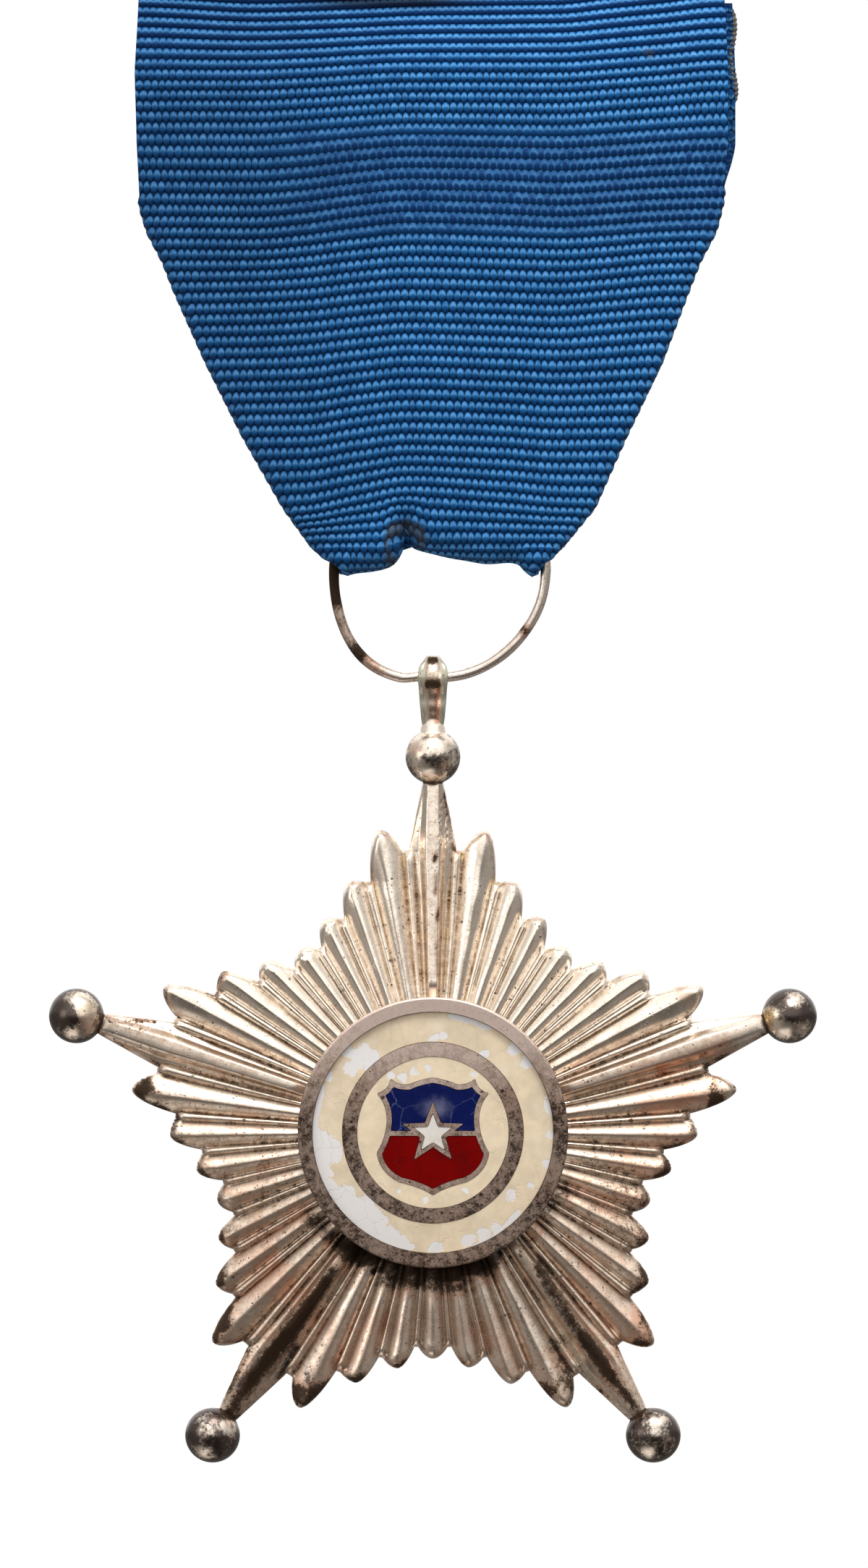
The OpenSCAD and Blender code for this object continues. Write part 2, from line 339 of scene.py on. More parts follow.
def lathe(profile: Grid, middle: Vector, axis: Vector, segments: int) -> Grid:
    """Turns a profile round an axis.

    Args:
        profile: Rows of [distance along the axis, radius].
        middle: Where the axis starts.
        axis: Direction of the axis, of length 1.
        segments: Points round each circle.

    Returns:
        Grid of points, a row for each point of the profile.
    """
    side = axis.orthogonal().normalized()
    other = axis.cross(side)
    turns = circle(segments)
    around = np.outer(np.cos(turns), side) + np.outer(np.sin(turns), other)
    along, radius = profile[:, 0, None, None], profile[:, 1, None, None]
    return np.array(middle) + along * np.array(axis) + radius * around[None]


class Field:
    """A number, place or color that varies over a surface. Arithmetic on it adds nodes."""

    def __init__(self, wiring: "Wiring", socket: Socket) -> None:
        """Wraps a socket of the tree that wiring works on."""
        self.wiring, self.socket = wiring, socket

    def run(self, operation: str, *others: Any) -> "Field":
        """Adds a Math node, or a Vector Math node where this is a place.

        Args:
            operation: What the node works out.
            others: Fields or values for the inputs after this one.

        Returns:
            The result.
        """
        kind = "VectorMath" if self.socket.type == "VECTOR" else "Math"
        output = 1 if operation in ("DISTANCE", "LENGTH") else 0
        return self.wiring.node(kind, dict(enumerate((self, *others))), output, operation=operation)

    def __add__(self, other: Any) -> "Field":
        """Returns the sum."""
        return self.run("ADD", other)

    def __sub__(self, other: Any) -> "Field":
        """Returns the difference."""
        return self.run("SUBTRACT", other)

    def __rsub__(self, other: Any) -> "Field":
        """Returns other less this."""
        return self.run("MULTIPLY_ADD", -1.0, other)

    def __mul__(self, other: Any) -> "Field":
        """Returns the product."""
        return self.run("MULTIPLY", other)

    def __pow__(self, power: float) -> "Field":
        """Returns the power."""
        return self.run("POWER", power)

    def __abs__(self) -> "Field":
        """Returns the size without the sign."""
        return self.run("ABSOLUTE")

    def clamped(self) -> "Field":
        """Returns the number kept between 0 and 1."""
        return self.wiring.node("Clamp", {0: self})

    def part(self, axis: str) -> "Field":
        """Returns the X, Y or Z of a place."""
        return self.wiring.node("SeparateXYZ", {0: self}, axis)

    def step(self, low: float, high: float, top: float = 1.0) -> "Field":
        """Makes a smooth step.

        Args:
            low: Where the step starts. It may be above high.
            high: Where the step ends.
            top: What the step reaches.

        Returns:
            0 at low, top at high, and smooth between them.
        """
        ends = (top, 0.0) if low > high else (0.0, top)
        names = ("From Min", "From Max", "To Min", "To Max")
        limits = dict(zip(names, (min(low, high), max(low, high), *ends)))
        return self.wiring.node("MapRange", {"Value": self, **limits}, interpolation_type="SMOOTHSTEP")

    def blend(self, first: Any, second: Any) -> "Field":
        """Returns the color that lies this share of the way from first to second."""
        return self.wiring.node("Mix", {0: self, 6: first, 7: second}, 2, data_type="RGBA")

    def painted(self, *coats: tuple["Field", Color]) -> "Field":
        """Lays tints over this color.

        Args:
            coats: Pairs of how much a tint covers and the tint, from the bottom up.

        Returns:
            The color that shows.
        """
        color = self
        for share, tint in coats:
            color = share.blend(color, tint)
        return color

    def noise(self, rate: float, detail: float = 3.0, rough: float = 0.5, output: int = 0) -> "Field":
        """Returns noise from 0 to 1 at this place, with that many bumps to the millimetre."""
        inputs = {"Vector": self, "Scale": rate, "Detail": detail, "Roughness": rough}
        return self.wiring.node("TexNoise", inputs, output)

    def dots(self, rate: float, power: float, size: float, crowd: Any = 1.0) -> "Field":
        """Scatters round dots of mixed sizes.

        Args:
            rate: Dots to the millimetre.
            power: A higher power leaves fewer large dots.
            size: Radius of the largest, in dot distances.
            crowd: What every size is multiplied by.

        Returns:
            Depth inside the nearest dot, negative outside.
        """
        away = self.wiring.node("TexVoronoi", {"Vector": self, "Scale": rate}, "Distance")
        chance = Field(self.wiring, away.socket.node.outputs["Color"])
        return chance**power * size * crowd - away

    def stretched(self, sizes: Row, turn: float = 0.0) -> "Field":
        """Returns the place turned about Y in degrees and then divided by a size on each axis."""
        inputs = {"Vector": self, "Rotation": (0.0, math.radians(turn), 0.0), "Scale": sizes}
        return self.wiring.node("Mapping", inputs, vector_type="TEXTURE")

    def strayed(self, rate: float, reach: float) -> "Field":
        """Returns the place moved about by up to that reach, to make borders ragged."""
        inputs = {0: self.noise(rate, 4.0, 0.62, 1), 1: (2.0 * reach,) * 3, 2: (-reach,) * 3}
        return self + self.wiring.node("VectorMath", inputs, operation="MULTIPLY_ADD")


class Wiring:
    """Adds nodes to one shader tree."""

    def __init__(self, tree: bpy.types.NodeTree) -> None:
        """Works on this tree."""
        self.tree = tree

    def feed(self, socket: Socket, value: Any) -> None:
        """Links a field to a socket, or sets the socket's own value.

        Args:
            socket: Input of a node.
            value: Field, number, place or color that it gets.
        """
        if isinstance(value, Field):
            self.tree.links.new(value.socket, socket)
        else:
            socket.default_value = (*value, 1.0) if socket.type == "RGBA" else value

    def node(self, kind: str, inputs: dict[Any, Any], output: int | str = 0, **settings: Any) -> Field:
        """Adds a node.

        Args:
            kind: Name of the node's type, without its first word.
            inputs: Fields or values, by the input's name or number.
            output: Name or number of the output that is used.
            settings: Properties of the node.

        Returns:
            What comes out of that output.
        """
        made = self.tree.nodes.new("ShaderNode" + kind)
        for key, value in settings.items():
            setattr(made, key, value)
        for key, value in inputs.items():
            self.feed(made.inputs[key], value)
        return Field(self, made.outputs[output])

    def field(self, name: str) -> Field:
        """Returns a field that the mesh carries."""
        return self.node("Attribute", {}, "Fac", attribute_name=name)

    def place(self) -> Field:
        """Returns the point on the object, in millimetres."""
        return self.node("TexCoord", {}, "Object") * ((1.0 / MM,) * 3)

    def plane(self, x: Any, y: Any) -> Field:
        """Returns the place with this X and Y."""
        return self.node("CombineXYZ", {0: x, 1: y})

    def dress(
        self, shader: bpy.types.Node, color: Field, rough: Field, height: Field, strength: float
    ) -> None:
        """Feeds a shader.

        Args:
            shader: The material's Principled shader.
            color: Its color.
            rough: Its roughness.
            height: Relief in millimetres.
            strength: Share of the relief that shows.
        """
        bumped = self.node("Bump", {"Height": height, "Strength": strength, "Distance": MM})
        for name, value in (("Base Color", color), ("Roughness", rough), ("Normal", bumped)):
            self.feed(shader.inputs[name], value)


class Effect:
    """A shader node group that is built once and placed in each material that needs it."""

    title = "Effect"
    takes: dict[str, float | None] = {}
    gives: tuple[str, ...] = ()

    def wire(self, wiring: Wiring, *given: Field) -> tuple[Field, ...]:
        """Builds the inside of the group.

        Args:
            wiring: Helper for the group's tree.
            given: The group's inputs, in the order of takes.

        Returns:
            The group's outputs, in the order of gives.
        """
        raise NotImplementedError

    def tree(self) -> bpy.types.NodeTree:
        """Finds the group's tree, or builds it the first time.

        Returns:
            The tree, with its named inputs and outputs.
        """
        found = bpy.data.node_groups.get(self.title)
        if found:
            return found
        tree = bpy.data.node_groups.new(self.title, "ShaderNodeTree")
        for name, default in self.takes.items():
            kind = "NodeSocketVector" if default is None else "NodeSocketFloat"
            made = tree.interface.new_socket(name, in_out="INPUT", socket_type=kind)
            if default is not None:
                made.default_value = default
        for name in self.gives:
            tree.interface.new_socket(name, in_out="OUTPUT", socket_type="NodeSocketFloat")
        wiring = Wiring(tree)
        start, end = tree.nodes.new("NodeGroupInput"), tree.nodes.new("NodeGroupOutput")
        given = (Field(wiring, start.outputs[name]) for name in self.takes)
        for name, value in zip(self.gives, self.wire(wiring, *given)):
            wiring.feed(end.inputs[name], value)
        return tree

    def put(self, wiring: Wiring, *values: Any) -> list[Field]:
        """Places the group in a tree.

        Args:
            wiring: Helper for the tree that takes the group.
            values: Fields or values for the group's inputs, in the order of takes.

        Returns:
            The group's outputs, in the order of gives.
        """
        made = wiring.node("Group", dict(zip(self.takes, values)), node_tree=self.tree()).socket.node
        return [Field(wiring, made.outputs[name]) for name in self.gives]


class Tarnish(Effect):
    """Brown tarnish that gathers in hollows, with dark pits and mottling."""

    title = "Tarnish"
    takes = {"Place": None, "Hollow": 0.0, "Patina": 0.0}
    gives = ("Mask", "Mottle", "Pits", "Height")

    def wire(self, wiring: Wiring, place: Field, hollow: Field, patina: Field) -> tuple[Field, ...]:
        """Mixes three sizes of noise with the hollows and the patina.

        Args:
            wiring: Helper for the group's tree. Not used.
            place: The point on the object, in millimetres.
            hollow: How deep in a hollow it lies.
            patina: How tarnished it is.

        Returns:
            The tarnish, mottling, pits and relief.
        """
        sizes = ((0.45, 3.0, 0.6), (2.3, 4.0, 0.65), (8.0, 3.0, 0.6))
        broad, middle, fine = (place.noise(*size) for size in sizes)
        level = patina + hollow * 0.3 + broad * 0.6 + middle + fine * 0.8 - 1.2
        bent = place.strayed(5.0, 0.09)
        crowd = (broad + patina * 0.3).step(0.3, 0.6)
        specks = bent.dots(4.3, 2.0, 0.4, crowd).step(-0.05, 0.04, 0.8)
        pits = bent.dots(1.6, 3.0, 0.3, crowd).step(-0.02, 0.03).run("MAXIMUM", specks)
        mottle = (middle * 0.6 + fine * 0.4).step(0.36, 0.64)
        return level.step(0.38, 0.78), mottle, pits, middle * 0.006 + fine * 0.003 - pits * 0.012


class Scratches(Effect):
    """Thin straight scratches that run two ways."""

    title = "Scratches"
    takes = {"Place": None, "Amount": 0.3}
    gives = ("Mask", "Height")

    def wire(self, wiring: Wiring, place: Field, amount: Field) -> tuple[Field, ...]:
        """Thresholds two noises that are drawn out along slanted lines.

        Args:
            wiring: Helper for the group's tree. Not used.
            place: The point on the object, in millimetres.
            amount: How much of each scratch shows.

        Returns:
            The scratches and their relief.
        """
        one, two = (
            (place + (seed,) * 3).stretched((3.2, 2.0, 0.09), turn).noise(1.0, 1.0, 0.5).step(0.68, 0.76)
            for turn, seed in ((35.0, 11.0), (-62.0, 47.0))
        )
        mask = one.run("MAXIMUM", two) * amount
        return mask, mask * -0.008


class RibbedWeave(Effect):
    """Threads wrapped over ribs: rounded grains set like scales, half a grain off in each row."""

    title = "Ribbed weave"
    takes = {"Across": 0.0, "Rib": 0.0, "Arch": 0.12, "Beads": 1.0}
    gives = ("Height", "Corner", "Crest", "Along", "Rim", "Tint", "Fibre")
    grain_pitch = 0.462

    def wire(
        self, wiring: Wiring, across: Field, rib: Field, arch: Field, beads: Field
    ) -> tuple[Field, ...]:
        """Finds the grain that holds each point, and shades it from its own middle.

        Args:
            wiring: Helper for the group's tree.
            across: Distance across the cloth, in millimetres.
            rib: Number of ribs from the cloth's start.
            arch: How far a row of grains swings up and down, in ribs.
            beads: How round the grains' ends are.

        Returns:
            The relief, the corners between grains, the lit crests, the place along the grain
            from -1 to 1, its rim, a tint for each grain, and the fibres.
        """
        loose = wiring.plane(across * 1.1, rib * 0.5).noise(1.0, 1.0)
        across = across * (1.0 / self.grain_pitch) + loose * 0.5
        whole, part = rib.run("FLOOR"), rib.run("FRACT")
        swing = (across * TURN + whole * math.pi).run("COSINE")
        reach = swing * arch
        above = part.run("LESS_THAN", reach * -1.0)
        below = part.run("GREATER_THAN", reach + 1.0)
        row = whole - above + below
        shrunk = swing.run("LESS_THAN", 0.0) * (1.0 - (above + below))
        off = rib - row - 0.5
        along = off.run("DIVIDE", abs(reach) * (1.0 - shrunk * 2.0) + 0.5)
        turned = across + row * 0.5 + 0.5
        side = turned.run("FRACT") * 2.0 - 1.0
        tint = wiring.node("TexWhiteNoise", {"Vector": wiring.plane(turned.run("FLOOR"), row)})
        side_square, along_square = side * side, along * along
        side_fourth, along_fourth = side_square * side_square, along_square * along_square
        edge = (side_square * 0.2 + side_fourth * 0.62) * beads + along_square * 0.25 + along_fourth * 0.48
        dome = (1.25 - edge).run("MAXIMUM", 0.0).run("SQRT")
        fibre = wiring.plane(turned * 6.0, rib * 2.5).noise(1.0, 3.0, 0.6)
        valley = (abs(off) * 2.0) ** 4.0
        return (
            dome * 0.25 + fibre * 0.04 - valley * 0.03, edge.step(0.6, 1.05),
            abs(along + 0.52 - side_square * 0.42).step(0.5, 0.05), along,
            (side_fourth * 0.7 + along_fourth * 0.5).step(0.1, 0.45), tint, fibre,
        )


class EnamelWear(Effect):
    """Where the top layer of cream has worn off, with ragged edges and dark pits."""

    title = "Enamel wear"
    takes = {"Place": None, "Worn": 0.0}
    gives = ("Bare", "Edge", "Pits", "Cracks", "Height")

    def wire(self, wiring: Wiring, place: Field, worn: Field) -> tuple[Field, ...]:
        """Breaks the smooth field of wear up with noise.

        Args:
            wiring: Helper for the group's tree.
            place: The point from the medallion's middle, in millimetres.
            worn: How worn it is.

        Returns:
            Where the layer is bare, its edge, the pits, the cracks and the relief.
        """
        level = worn + place.noise(1.1, 5.0, 0.6) * 0.8 - 0.4
        bare = level.step(0.45, 0.51)
        bent = place.strayed(4.0, 0.08)
        specks = bent.dots(3.1, 5.0, 0.22).step(0.0, 0.05, 0.6)
        pits = bent.dots(0.9, 4.0, 0.13).step(0.0, 0.03).run("MAXIMUM", specks)
        cells = {"Vector": place.strayed(1.6, 0.3), "Scale": 0.62}
        web = wiring.node("TexVoronoi", cells, "Distance", feature="DISTANCE_TO_EDGE")
        cracks = web.step(0.022, 0.006) * (place + (13.0, 4.0, 8.0)).noise(0.5).step(0.44, 0.6)
        relief = bare * -0.012 - pits * 0.04 - cracks * 0.01 + place.noise(1.6) * 0.006
        return bare, level.step(0.40, 0.47) - bare, pits, cracks, relief


def new_material(name: str) -> tuple[Material, Wiring, bpy.types.Node]:
    """Starts a material.

    Args:
        name: Name of the material.

    Returns:
        The material, the helper for its tree, and its Principled shader.
    """
    material = bpy.data.materials.new(name)
    material.use_nodes = True
    tree = material.node_tree
    return material, Wiring(tree), next(n for n in tree.nodes if n.type == "BSDF_PRINCIPLED")


@dataclass(frozen=True)
class MetalFinish:
    """Old silver-coloured metal with warm toning, tarnish, copper tints and scratches.

    The fade makes the metal darker towards the bottom by adding to its patina: the height where it starts,
    the height where it is full, and its amount.
    """

    name: str
    bright: Color
    toned: Color
    dark: Color = (0.060, 0.036, 0.022)
    copper: Color = (0.66, 0.33, 0.21)
    yellow: Color = (0.72, 0.52, 0.20)
    green: Color = (0.42, 0.41, 0.31)
    # black crust; the star also lays painted shadow and painted dark reflections with it
    soot: Color = (0.060, 0.042, 0.038)
    roughness: float = 0.24
    scratch: float = 0.35
    fade: Row = ()
    crusted: bool = False

    def material(self) -> Material:
        """Lays the tones, tints, crust and painted shade, and pits over one another.

        Returns:
            The material.
        """
        material, wiring, shader = new_material(self.name)
        place = wiring.place()
        names = ("hollow", "patina", "copper", "yellow", "green", "soot", "filed")
        hollow, patina, copper, yellow, green, soot, filed = (wiring.field(name) for name in names)
        if self.fade:
            patina = patina + place.part("Z").step(*self.fade)
        mask, mottle, pits, relief = Tarnish().put(wiring, place, hollow, patina)
        marks, marks_relief = Scratches().put(wiring, place, self.scratch)
        tone = (mottle * 0.34 + patina * 1.3 + hollow * 0.3).step(0.12, 0.8)
        drift = (place + (31.0, 7.0, 3.0)).noise(0.42, 3.0, 0.6)
        warmth = drift.step(0.46, 0.62) * patina.step(0.08, 0.4, 0.34)
        # the black layer: crust, painted shadow under the medallion and painted dark reflections on the
        # balls
        grit = soot + place.noise(3.2, 4.0, 0.6) + place.noise(9.0, 3.0, 0.7) * 0.9 - 0.95
        color = tone.blend(self.bright, self.toned).painted(
            ((warmth + copper).clamped(), self.copper), (yellow, self.yellow), (green, self.green),
            (grit.step(0.25, 0.8, 0.95), self.soot), (mask * 0.9, self.dark), (pits * 0.8, self.dark),
        )
        rough = mask * 0.2 + patina * 0.7 + mottle * 0.07 + pits * 0.2 + marks * 0.1 + self.roughness
        wiring.dress(shader, color, rough, relief + marks_relief + filed, 0.8)
        wiring.feed(shader.inputs["Metallic"], 1.0 - green * 0.6 if self.crusted else 1.0)
        return material


@dataclass(frozen=True)
class EnamelFinish:
    """Glassy enamel with pits, a cloudy film and places where its top layer is gone.

    Spots are rows of x, z and radius in the medallion's own plane. The cloud spot has its
    strength as well, and the strip is where a worn border starts and ends.
    """

    name: str
    color: Color
    under: Color
    cloud: Color
    cloud_share: float = 0.0
    cloud_spot: Row = ()
    spots: tuple[Row, ...] = ()
    strip: Row = ()
    edge: Color = (0.50, 0.36, 0.2)
    crack: Color = (0.30, 0.19, 0.10)
    crack_share: float = 0.14
    # painted shade that darkens the enamel towards the bottom: its strength and colour
    painted_dimming: float = 0.0
    painted_dimming_color: Color = (0.2, 0.15, 0.1)
    pit_color: Color = (0.10, 0.06, 0.03)
    roughness: float = 0.14
    pit_share: float = 0.8
    shine: float = 0.5

    def worn(self, place: Field) -> Field | float:
        """Wires how worn each point is.

        Args:
            place: The point from the medallion's middle.

        Returns:
            A field from 0 to about 1.
        """
        flat = place * (1.0, 0.0, 1.0)
        strayed = flat.strayed(1.1, 0.55)
        levels = [
            strayed.run("DISTANCE", (x, 0.0, z)).step(1.7 * radius, 0.0) for x, z, radius in self.spots
        ]
        if self.strip:
            patch = flat.noise(0.35, 1.0).step(0.42, 0.6)
            levels.append(flat.run("LENGTH").step(*self.strip, 0.75) * patch)
        worn: Any = levels[0] if levels else 0.0
        for level in levels[1:]:
            worn = worn.run("MAXIMUM", level)
        return worn

    def material(self, middle: Vector) -> Material:
        """Builds the material.

        Args:
            middle: The medallion's middle, in millimetres.

        Returns:
            The material.
        """
        material, wiring, shader = new_material(self.name)
        place = wiring.place() - (middle.x, 0.0, middle.z)
        bare, edge, pits, cracks, relief = EnamelWear().put(wiring, place, self.worn(place))
        haze = (place + (5.0, 0.0, 9.0)).noise(0.55, 5.0, 0.65).step(0.5, 0.72, self.cloud_share)
        if self.cloud_spot:
            x, z, radius, strength = self.cloud_spot
            away = (place.strayed(0.8, 0.7) * (1.0, 0.0, 1.4)).run("DISTANCE", (x, 0.0, 1.4 * z))
            haze = haze.run("MAXIMUM", away.step(radius, 0.0, strength))
        drift = place.noise(0.7, 5.0, 0.65).step(0.3, 0.7)
        color = drift.blend(self.color, tuple(0.82 * c for c in self.color)).painted(
            (haze, self.cloud), (bare, self.under), (edge * 0.1, self.edge),
            (cracks * self.crack_share, self.crack),
        )
        # painted shade, darker towards the bottom
        if self.painted_dimming:
            color = place.part("Z").step(2.0, -7.0, self.painted_dimming).blend(color, self.painted_dimming_color)
        color = (pits * self.pit_share).blend(color, self.pit_color)
        rough = bare * 0.12 + pits * 0.4 + haze * 0.1 + self.roughness
        wiring.dress(shader, color, rough, relief, 0.7)
        shader.inputs["Specular IOR Level"].default_value = self.shine
        return material


@dataclass(frozen=True)
class ClothFinish:
    """Ribbed ribbon of slightly glossy blue thread, with old stains, and with painted highlights and painted
    shade on its grains.
    """

    name: str = "blue_ribbed_ribbon"
    thread: Color = (0.0030, 0.078, 0.27)
    light: Color = (0.009, 0.155, 0.44)
    violet: Color = (0.016, 0.10, 0.39)
    # painted highlight for the upper crests of the grains
    painted_crest_highlight: Color = (0.10, 0.33, 0.68)
    # painted shade for the lower halves of the grains and the middles of the honeycomb grains
    painted_grain_shade: Color = (0.0008, 0.027, 0.135)
    # painted shade in the gaps between the grains
    deep: Color = (0.0005, 0.009, 0.045)
    stain: Color = (0.060, 0.070, 0.078)
    # painted shade towards the left and across the middle band
    painted_dimming: Color = (0.0005, 0.004, 0.02)
    shadow: Color = (0.0005, 0.002, 0.009)

    def material(self) -> Material:
        """Colors the grains of the weave with painted highlights and painted shade, and lays stains and
        painted shade over them.

        Returns:
            The material.
        """
        material, wiring, shader = new_material(self.name)
        place = wiring.place()
        x, z = place.part("X"), place.part("Z")
        lower = z.step(-4.5, -9.5)
        honey = z.step(-10.2, -12.4) * z.step(-18.6, -16.8) * x.step(-12.0, -6.0)
        relief, corner, painted_crest_highlight, along, rim, tint, fibre = RibbedWeave().put(
            wiring, wiring.field("across"), wiring.field("rib"), lower * 0.05 + 0.025,
            lower * 0.5 - honey * 0.65 + 0.65,
        )
        drift = place.noise(0.22, 4.0, 0.6)
        body = (tint * 0.4 + fibre * 0.9 + drift * 0.6 - 0.5).step(0.0, 1.0)
        # painted shade: the lower half of each grain is darkened as if lit from above
        low = (along - lower * 0.32).step(-0.4, 0.4) * (0.9 - lower * 0.3 - honey * 0.25)
        flecks = place.stretched((0.32, 0.32, 0.5)).noise(1.0, 2.0, 0.6)
        # strength of the painted crest highlight, stronger to the right and near the top where the cloth
        # tilts up to the light
        lit = (
            tint * 0.3 + fibre * 0.5 + flecks * 1.15 + x.step(4.0, 14.0, 0.12) + z.step(-9.0, -4.0, 0.1)
            - honey * 0.33 - 0.38
        )
        blotch = (wiring.field("stain") + place.noise(1.4) * 0.5).step(0.42, 1.0)
        # painted shade: darker to the left and across the middle band, less so low down
        painted_dimming = x.step(0.0, -13.0, 0.3) + z.step(-6.0, -12.0, 0.1) - z.step(-18.0, -26.0, 0.05)
        # painted highlights on the crests and honeycomb rims; painted shade on the lower halves, honeycomb
        # middles, gaps, left side and top dip
        color = body.blend(self.thread, self.light).painted(
            ((drift * 0.6 + tint * 0.4).step(0.55, 0.8, 0.5), self.violet), (low, self.painted_grain_shade),
            (honey * (1.0 - rim) * 0.85, self.painted_grain_shade), ((painted_crest_highlight * lit).clamped(), self.painted_crest_highlight),
            (honey * rim * 0.12, self.painted_crest_highlight), (corner * 0.9, self.deep), (blotch * 0.8, self.stain),
            (painted_dimming, self.painted_dimming), (wiring.field("shade"), self.shadow),
        )
        wiring.dress(shader, color, fibre * 0.16 + blotch * 0.2 + 0.5, relief, 1.0)
        shader.inputs["Specular IOR Level"].default_value = 0.13
        return material


@dataclass(frozen=True)
class ThreadFinish:
    """A coarse grey thread twisted from several strands."""

    name: str = "grey_thread"
    color: Color = (0.085, 0.08, 0.075)
    light: Color = (0.24, 0.22, 0.2)

    def material(self) -> Material:
        """Colors strands that wind round the thread.

        Returns:
            The material.
        """
        material, wiring, shader = new_material(self.name)
        strands = wiring.place().stretched((0.11, 0.11, 0.33), 30.0).noise(1.0, 3.0, 0.6)
        color = strands.step(0.35, 0.7).blend(self.color, self.light)
        wiring.dress(shader, color, strands * 0.2 + 0.7, strands * 0.08, 1.0)
        return material


class Sky(Enum):
    """Brightness of the studio in one direction, as a metal mirror sees it."""

    BACK = 0.27
    HIGH = 1.3
    LEVEL = 0.12
    SIDE = 0.34
    TABLE = 0.9


@dataclass
class Studio:
    """Camera, lights, pale floor and the soft surroundings that the metal mirrors."""

    places: Places
    view_middle: tuple[float, float] = (0.068, -52.25)
    view_height: float = 98.5
    camera_away: float = 1000.0
    sensor: float = 36.0
    floor_drop: float = 160.0
    floor_radius: float = 1150.0
    floor_glow: float = 0.12

    def build(self) -> None:
        """Makes the whole studio."""
        self.make_camera()
        self.make_world()
        self.make_floor()
        self.make_light("key", (40.0, -270.0, 490.0), size=240.0, power=1.9)
        self.make_light("side", (-420.0, -260.0, 60.0), size=200.0, power=0.25)
        scene = bpy.context.scene
        scene.view_settings.view_transform = "Standard"
        scene.view_settings.look = "None"

    def make_camera(self) -> None:
        """Makes the level camera that frames the medal as the photograph does."""
        lens = bpy.data.cameras.new("camera")
        lens.sensor_fit = "AUTO"
        lens.sensor_width = self.sensor
        lens.lens = self.sensor * self.camera_away / self.view_height
        lens.clip_start = 0.01
        camera = bpy.data.objects.new("camera", lens)
        x, z = self.view_middle
        camera.location = (x * MM, (self.places.star_middle.y - self.camera_away) * MM, z * MM)
        camera.rotation_euler = (math.radians(90.0), 0.0, 0.0)
        bpy.context.scene.collection.objects.link(camera)
        bpy.context.scene.camera = camera

    def make_world(self) -> None:
        """Makes surroundings that are white behind and above, and dark low in front."""
        world = bpy.data.worlds.new("studio")
        world.use_nodes = True
        bpy.context.scene.world = world
        wiring = Wiring(world.node_tree)
        way = wiring.node("TexCoord", {}, "Generated")
        across, depth, rise = (way.part(axis) for axis in "XYZ")
        aside = abs(across)
        strength = aside.step(0.3, 0.85) * (Sky.SIDE.value - Sky.LEVEL.value) + Sky.LEVEL.value
        table = rise.step(-0.74, -0.86) * abs(across + 0.3).step(0.45, 0.25)
        window = (rise - aside * aside * 0.16).step(-0.05, 0.07) * (1.0 - aside.step(0.5, 0.85, 0.66))
        for share, sky in ((table, Sky.TABLE), (depth.step(0.05, 0.5), Sky.BACK), (window, Sky.HIGH)):
            strength = strength * (1.0 - share) + share * sky.value
        seen = wiring.node("LightPath", {}, "Is Camera Ray")
        color = rise.step(-0.3, 0.2).blend((1.0, 0.93, 0.86), (1.0, 0.985, 0.965))
        background = next(n for n in world.node_tree.nodes if n.type == "BACKGROUND")
        wiring.feed(background.inputs["Color"], seen.blend(color, (1.0, 1.0, 1.0)))
        wiring.feed(background.inputs["Strength"], strength * (1.0 - seen) + seen)

    def make_floor(self) -> None:
        """Makes the pale floor, far enough below to stay out of the level view."""
        low = self.places.star_middle.z - self.floor_drop
        turns = circle(96)
        rings = np.array([self.floor_radius, self.floor_radius * 0.5, 10.0])[:, None]
        heights = np.full((len(rings), len(turns)), low)
        shape = Shape("floor")
        index = shape.add_grid(np.stack([rings * np.cos(turns), rings * np.sin(turns), heights], axis=-1))
        shape.close(index[-1], (0.0, 0.0, low))
        material, wiring, shader = new_material("pale_floor")
        grain = wiring.place().noise(0.02, 3.0)
        above = 1.0 - wiring.node("NewGeometry", {}, "Backfacing")
        for name, value in (
            ("Base Color", grain.blend((0.80, 0.80, 0.79), (0.85, 0.85, 0.84))), ("Roughness", 0.8),
            ("Emission Color", (1.0, 0.995, 0.985)), ("Emission Strength", self.floor_glow),
            ("Alpha", above),
        ):
            wiring.feed(shader.inputs[name], value)
        floor = shape.build(material)
        if floor.data.polygons[0].normal.z < 0.0:
            floor.data.flip_normals()
        floor.visible_glossy = False
        floor.visible_diffuse = False

    def make_light(self, name: str, place: Row, size: float, power: float) -> None:
        """Makes a soft square light that faces the medal.

        Args:
            name: Name of the light.
            place: Where it stands, from the middle of the view.
            size: Length of its side.
            power: Its power in watts.
        """
        lamp = bpy.data.lights.new(name, "AREA")
        lamp.shape = "SQUARE"
        lamp.size = size * MM
        lamp.energy = power
        lamp.color = (1.0, 0.97, 0.93)
        holder = bpy.data.objects.new(name, lamp)
        x, z = self.view_middle
        holder.location = (Vector((x, 0.0, z)) + Vector(place)) * MM
        holder.rotation_euler = (-Vector(place)).to_track_quat("-Z", "Y").to_euler()
        holder.visible_camera = False
        bpy.context.scene.collection.objects.link(holder)


def streaked(rows: Sequence[Row], x: Grid, y: Grid) -> Grid:
    """Adds up straight streaks with soft sides.

    Args:
        rows: Start x and y, end x and y, width and strength of each streak.
        x: Places to the right of the star's middle.
        y: Places above the star's middle.

    Returns:
        How much of the streaks each place gets.
    """
    total = np.zeros_like(x)
    for from_x, from_y, to_x, to_y, width, strength in rows:
        run_x, run_y = to_x - from_x, to_y - from_y
        share = ((x - from_x) * run_x + (y - from_y) * run_y) / (run_x**2 + run_y**2)
        share = np.clip(share, 0.0, 1.0)
        away = np.hypot(x - from_x - share * run_x, y - from_y - share * run_y)
        total = total + strength * bell(away, width)
    return total


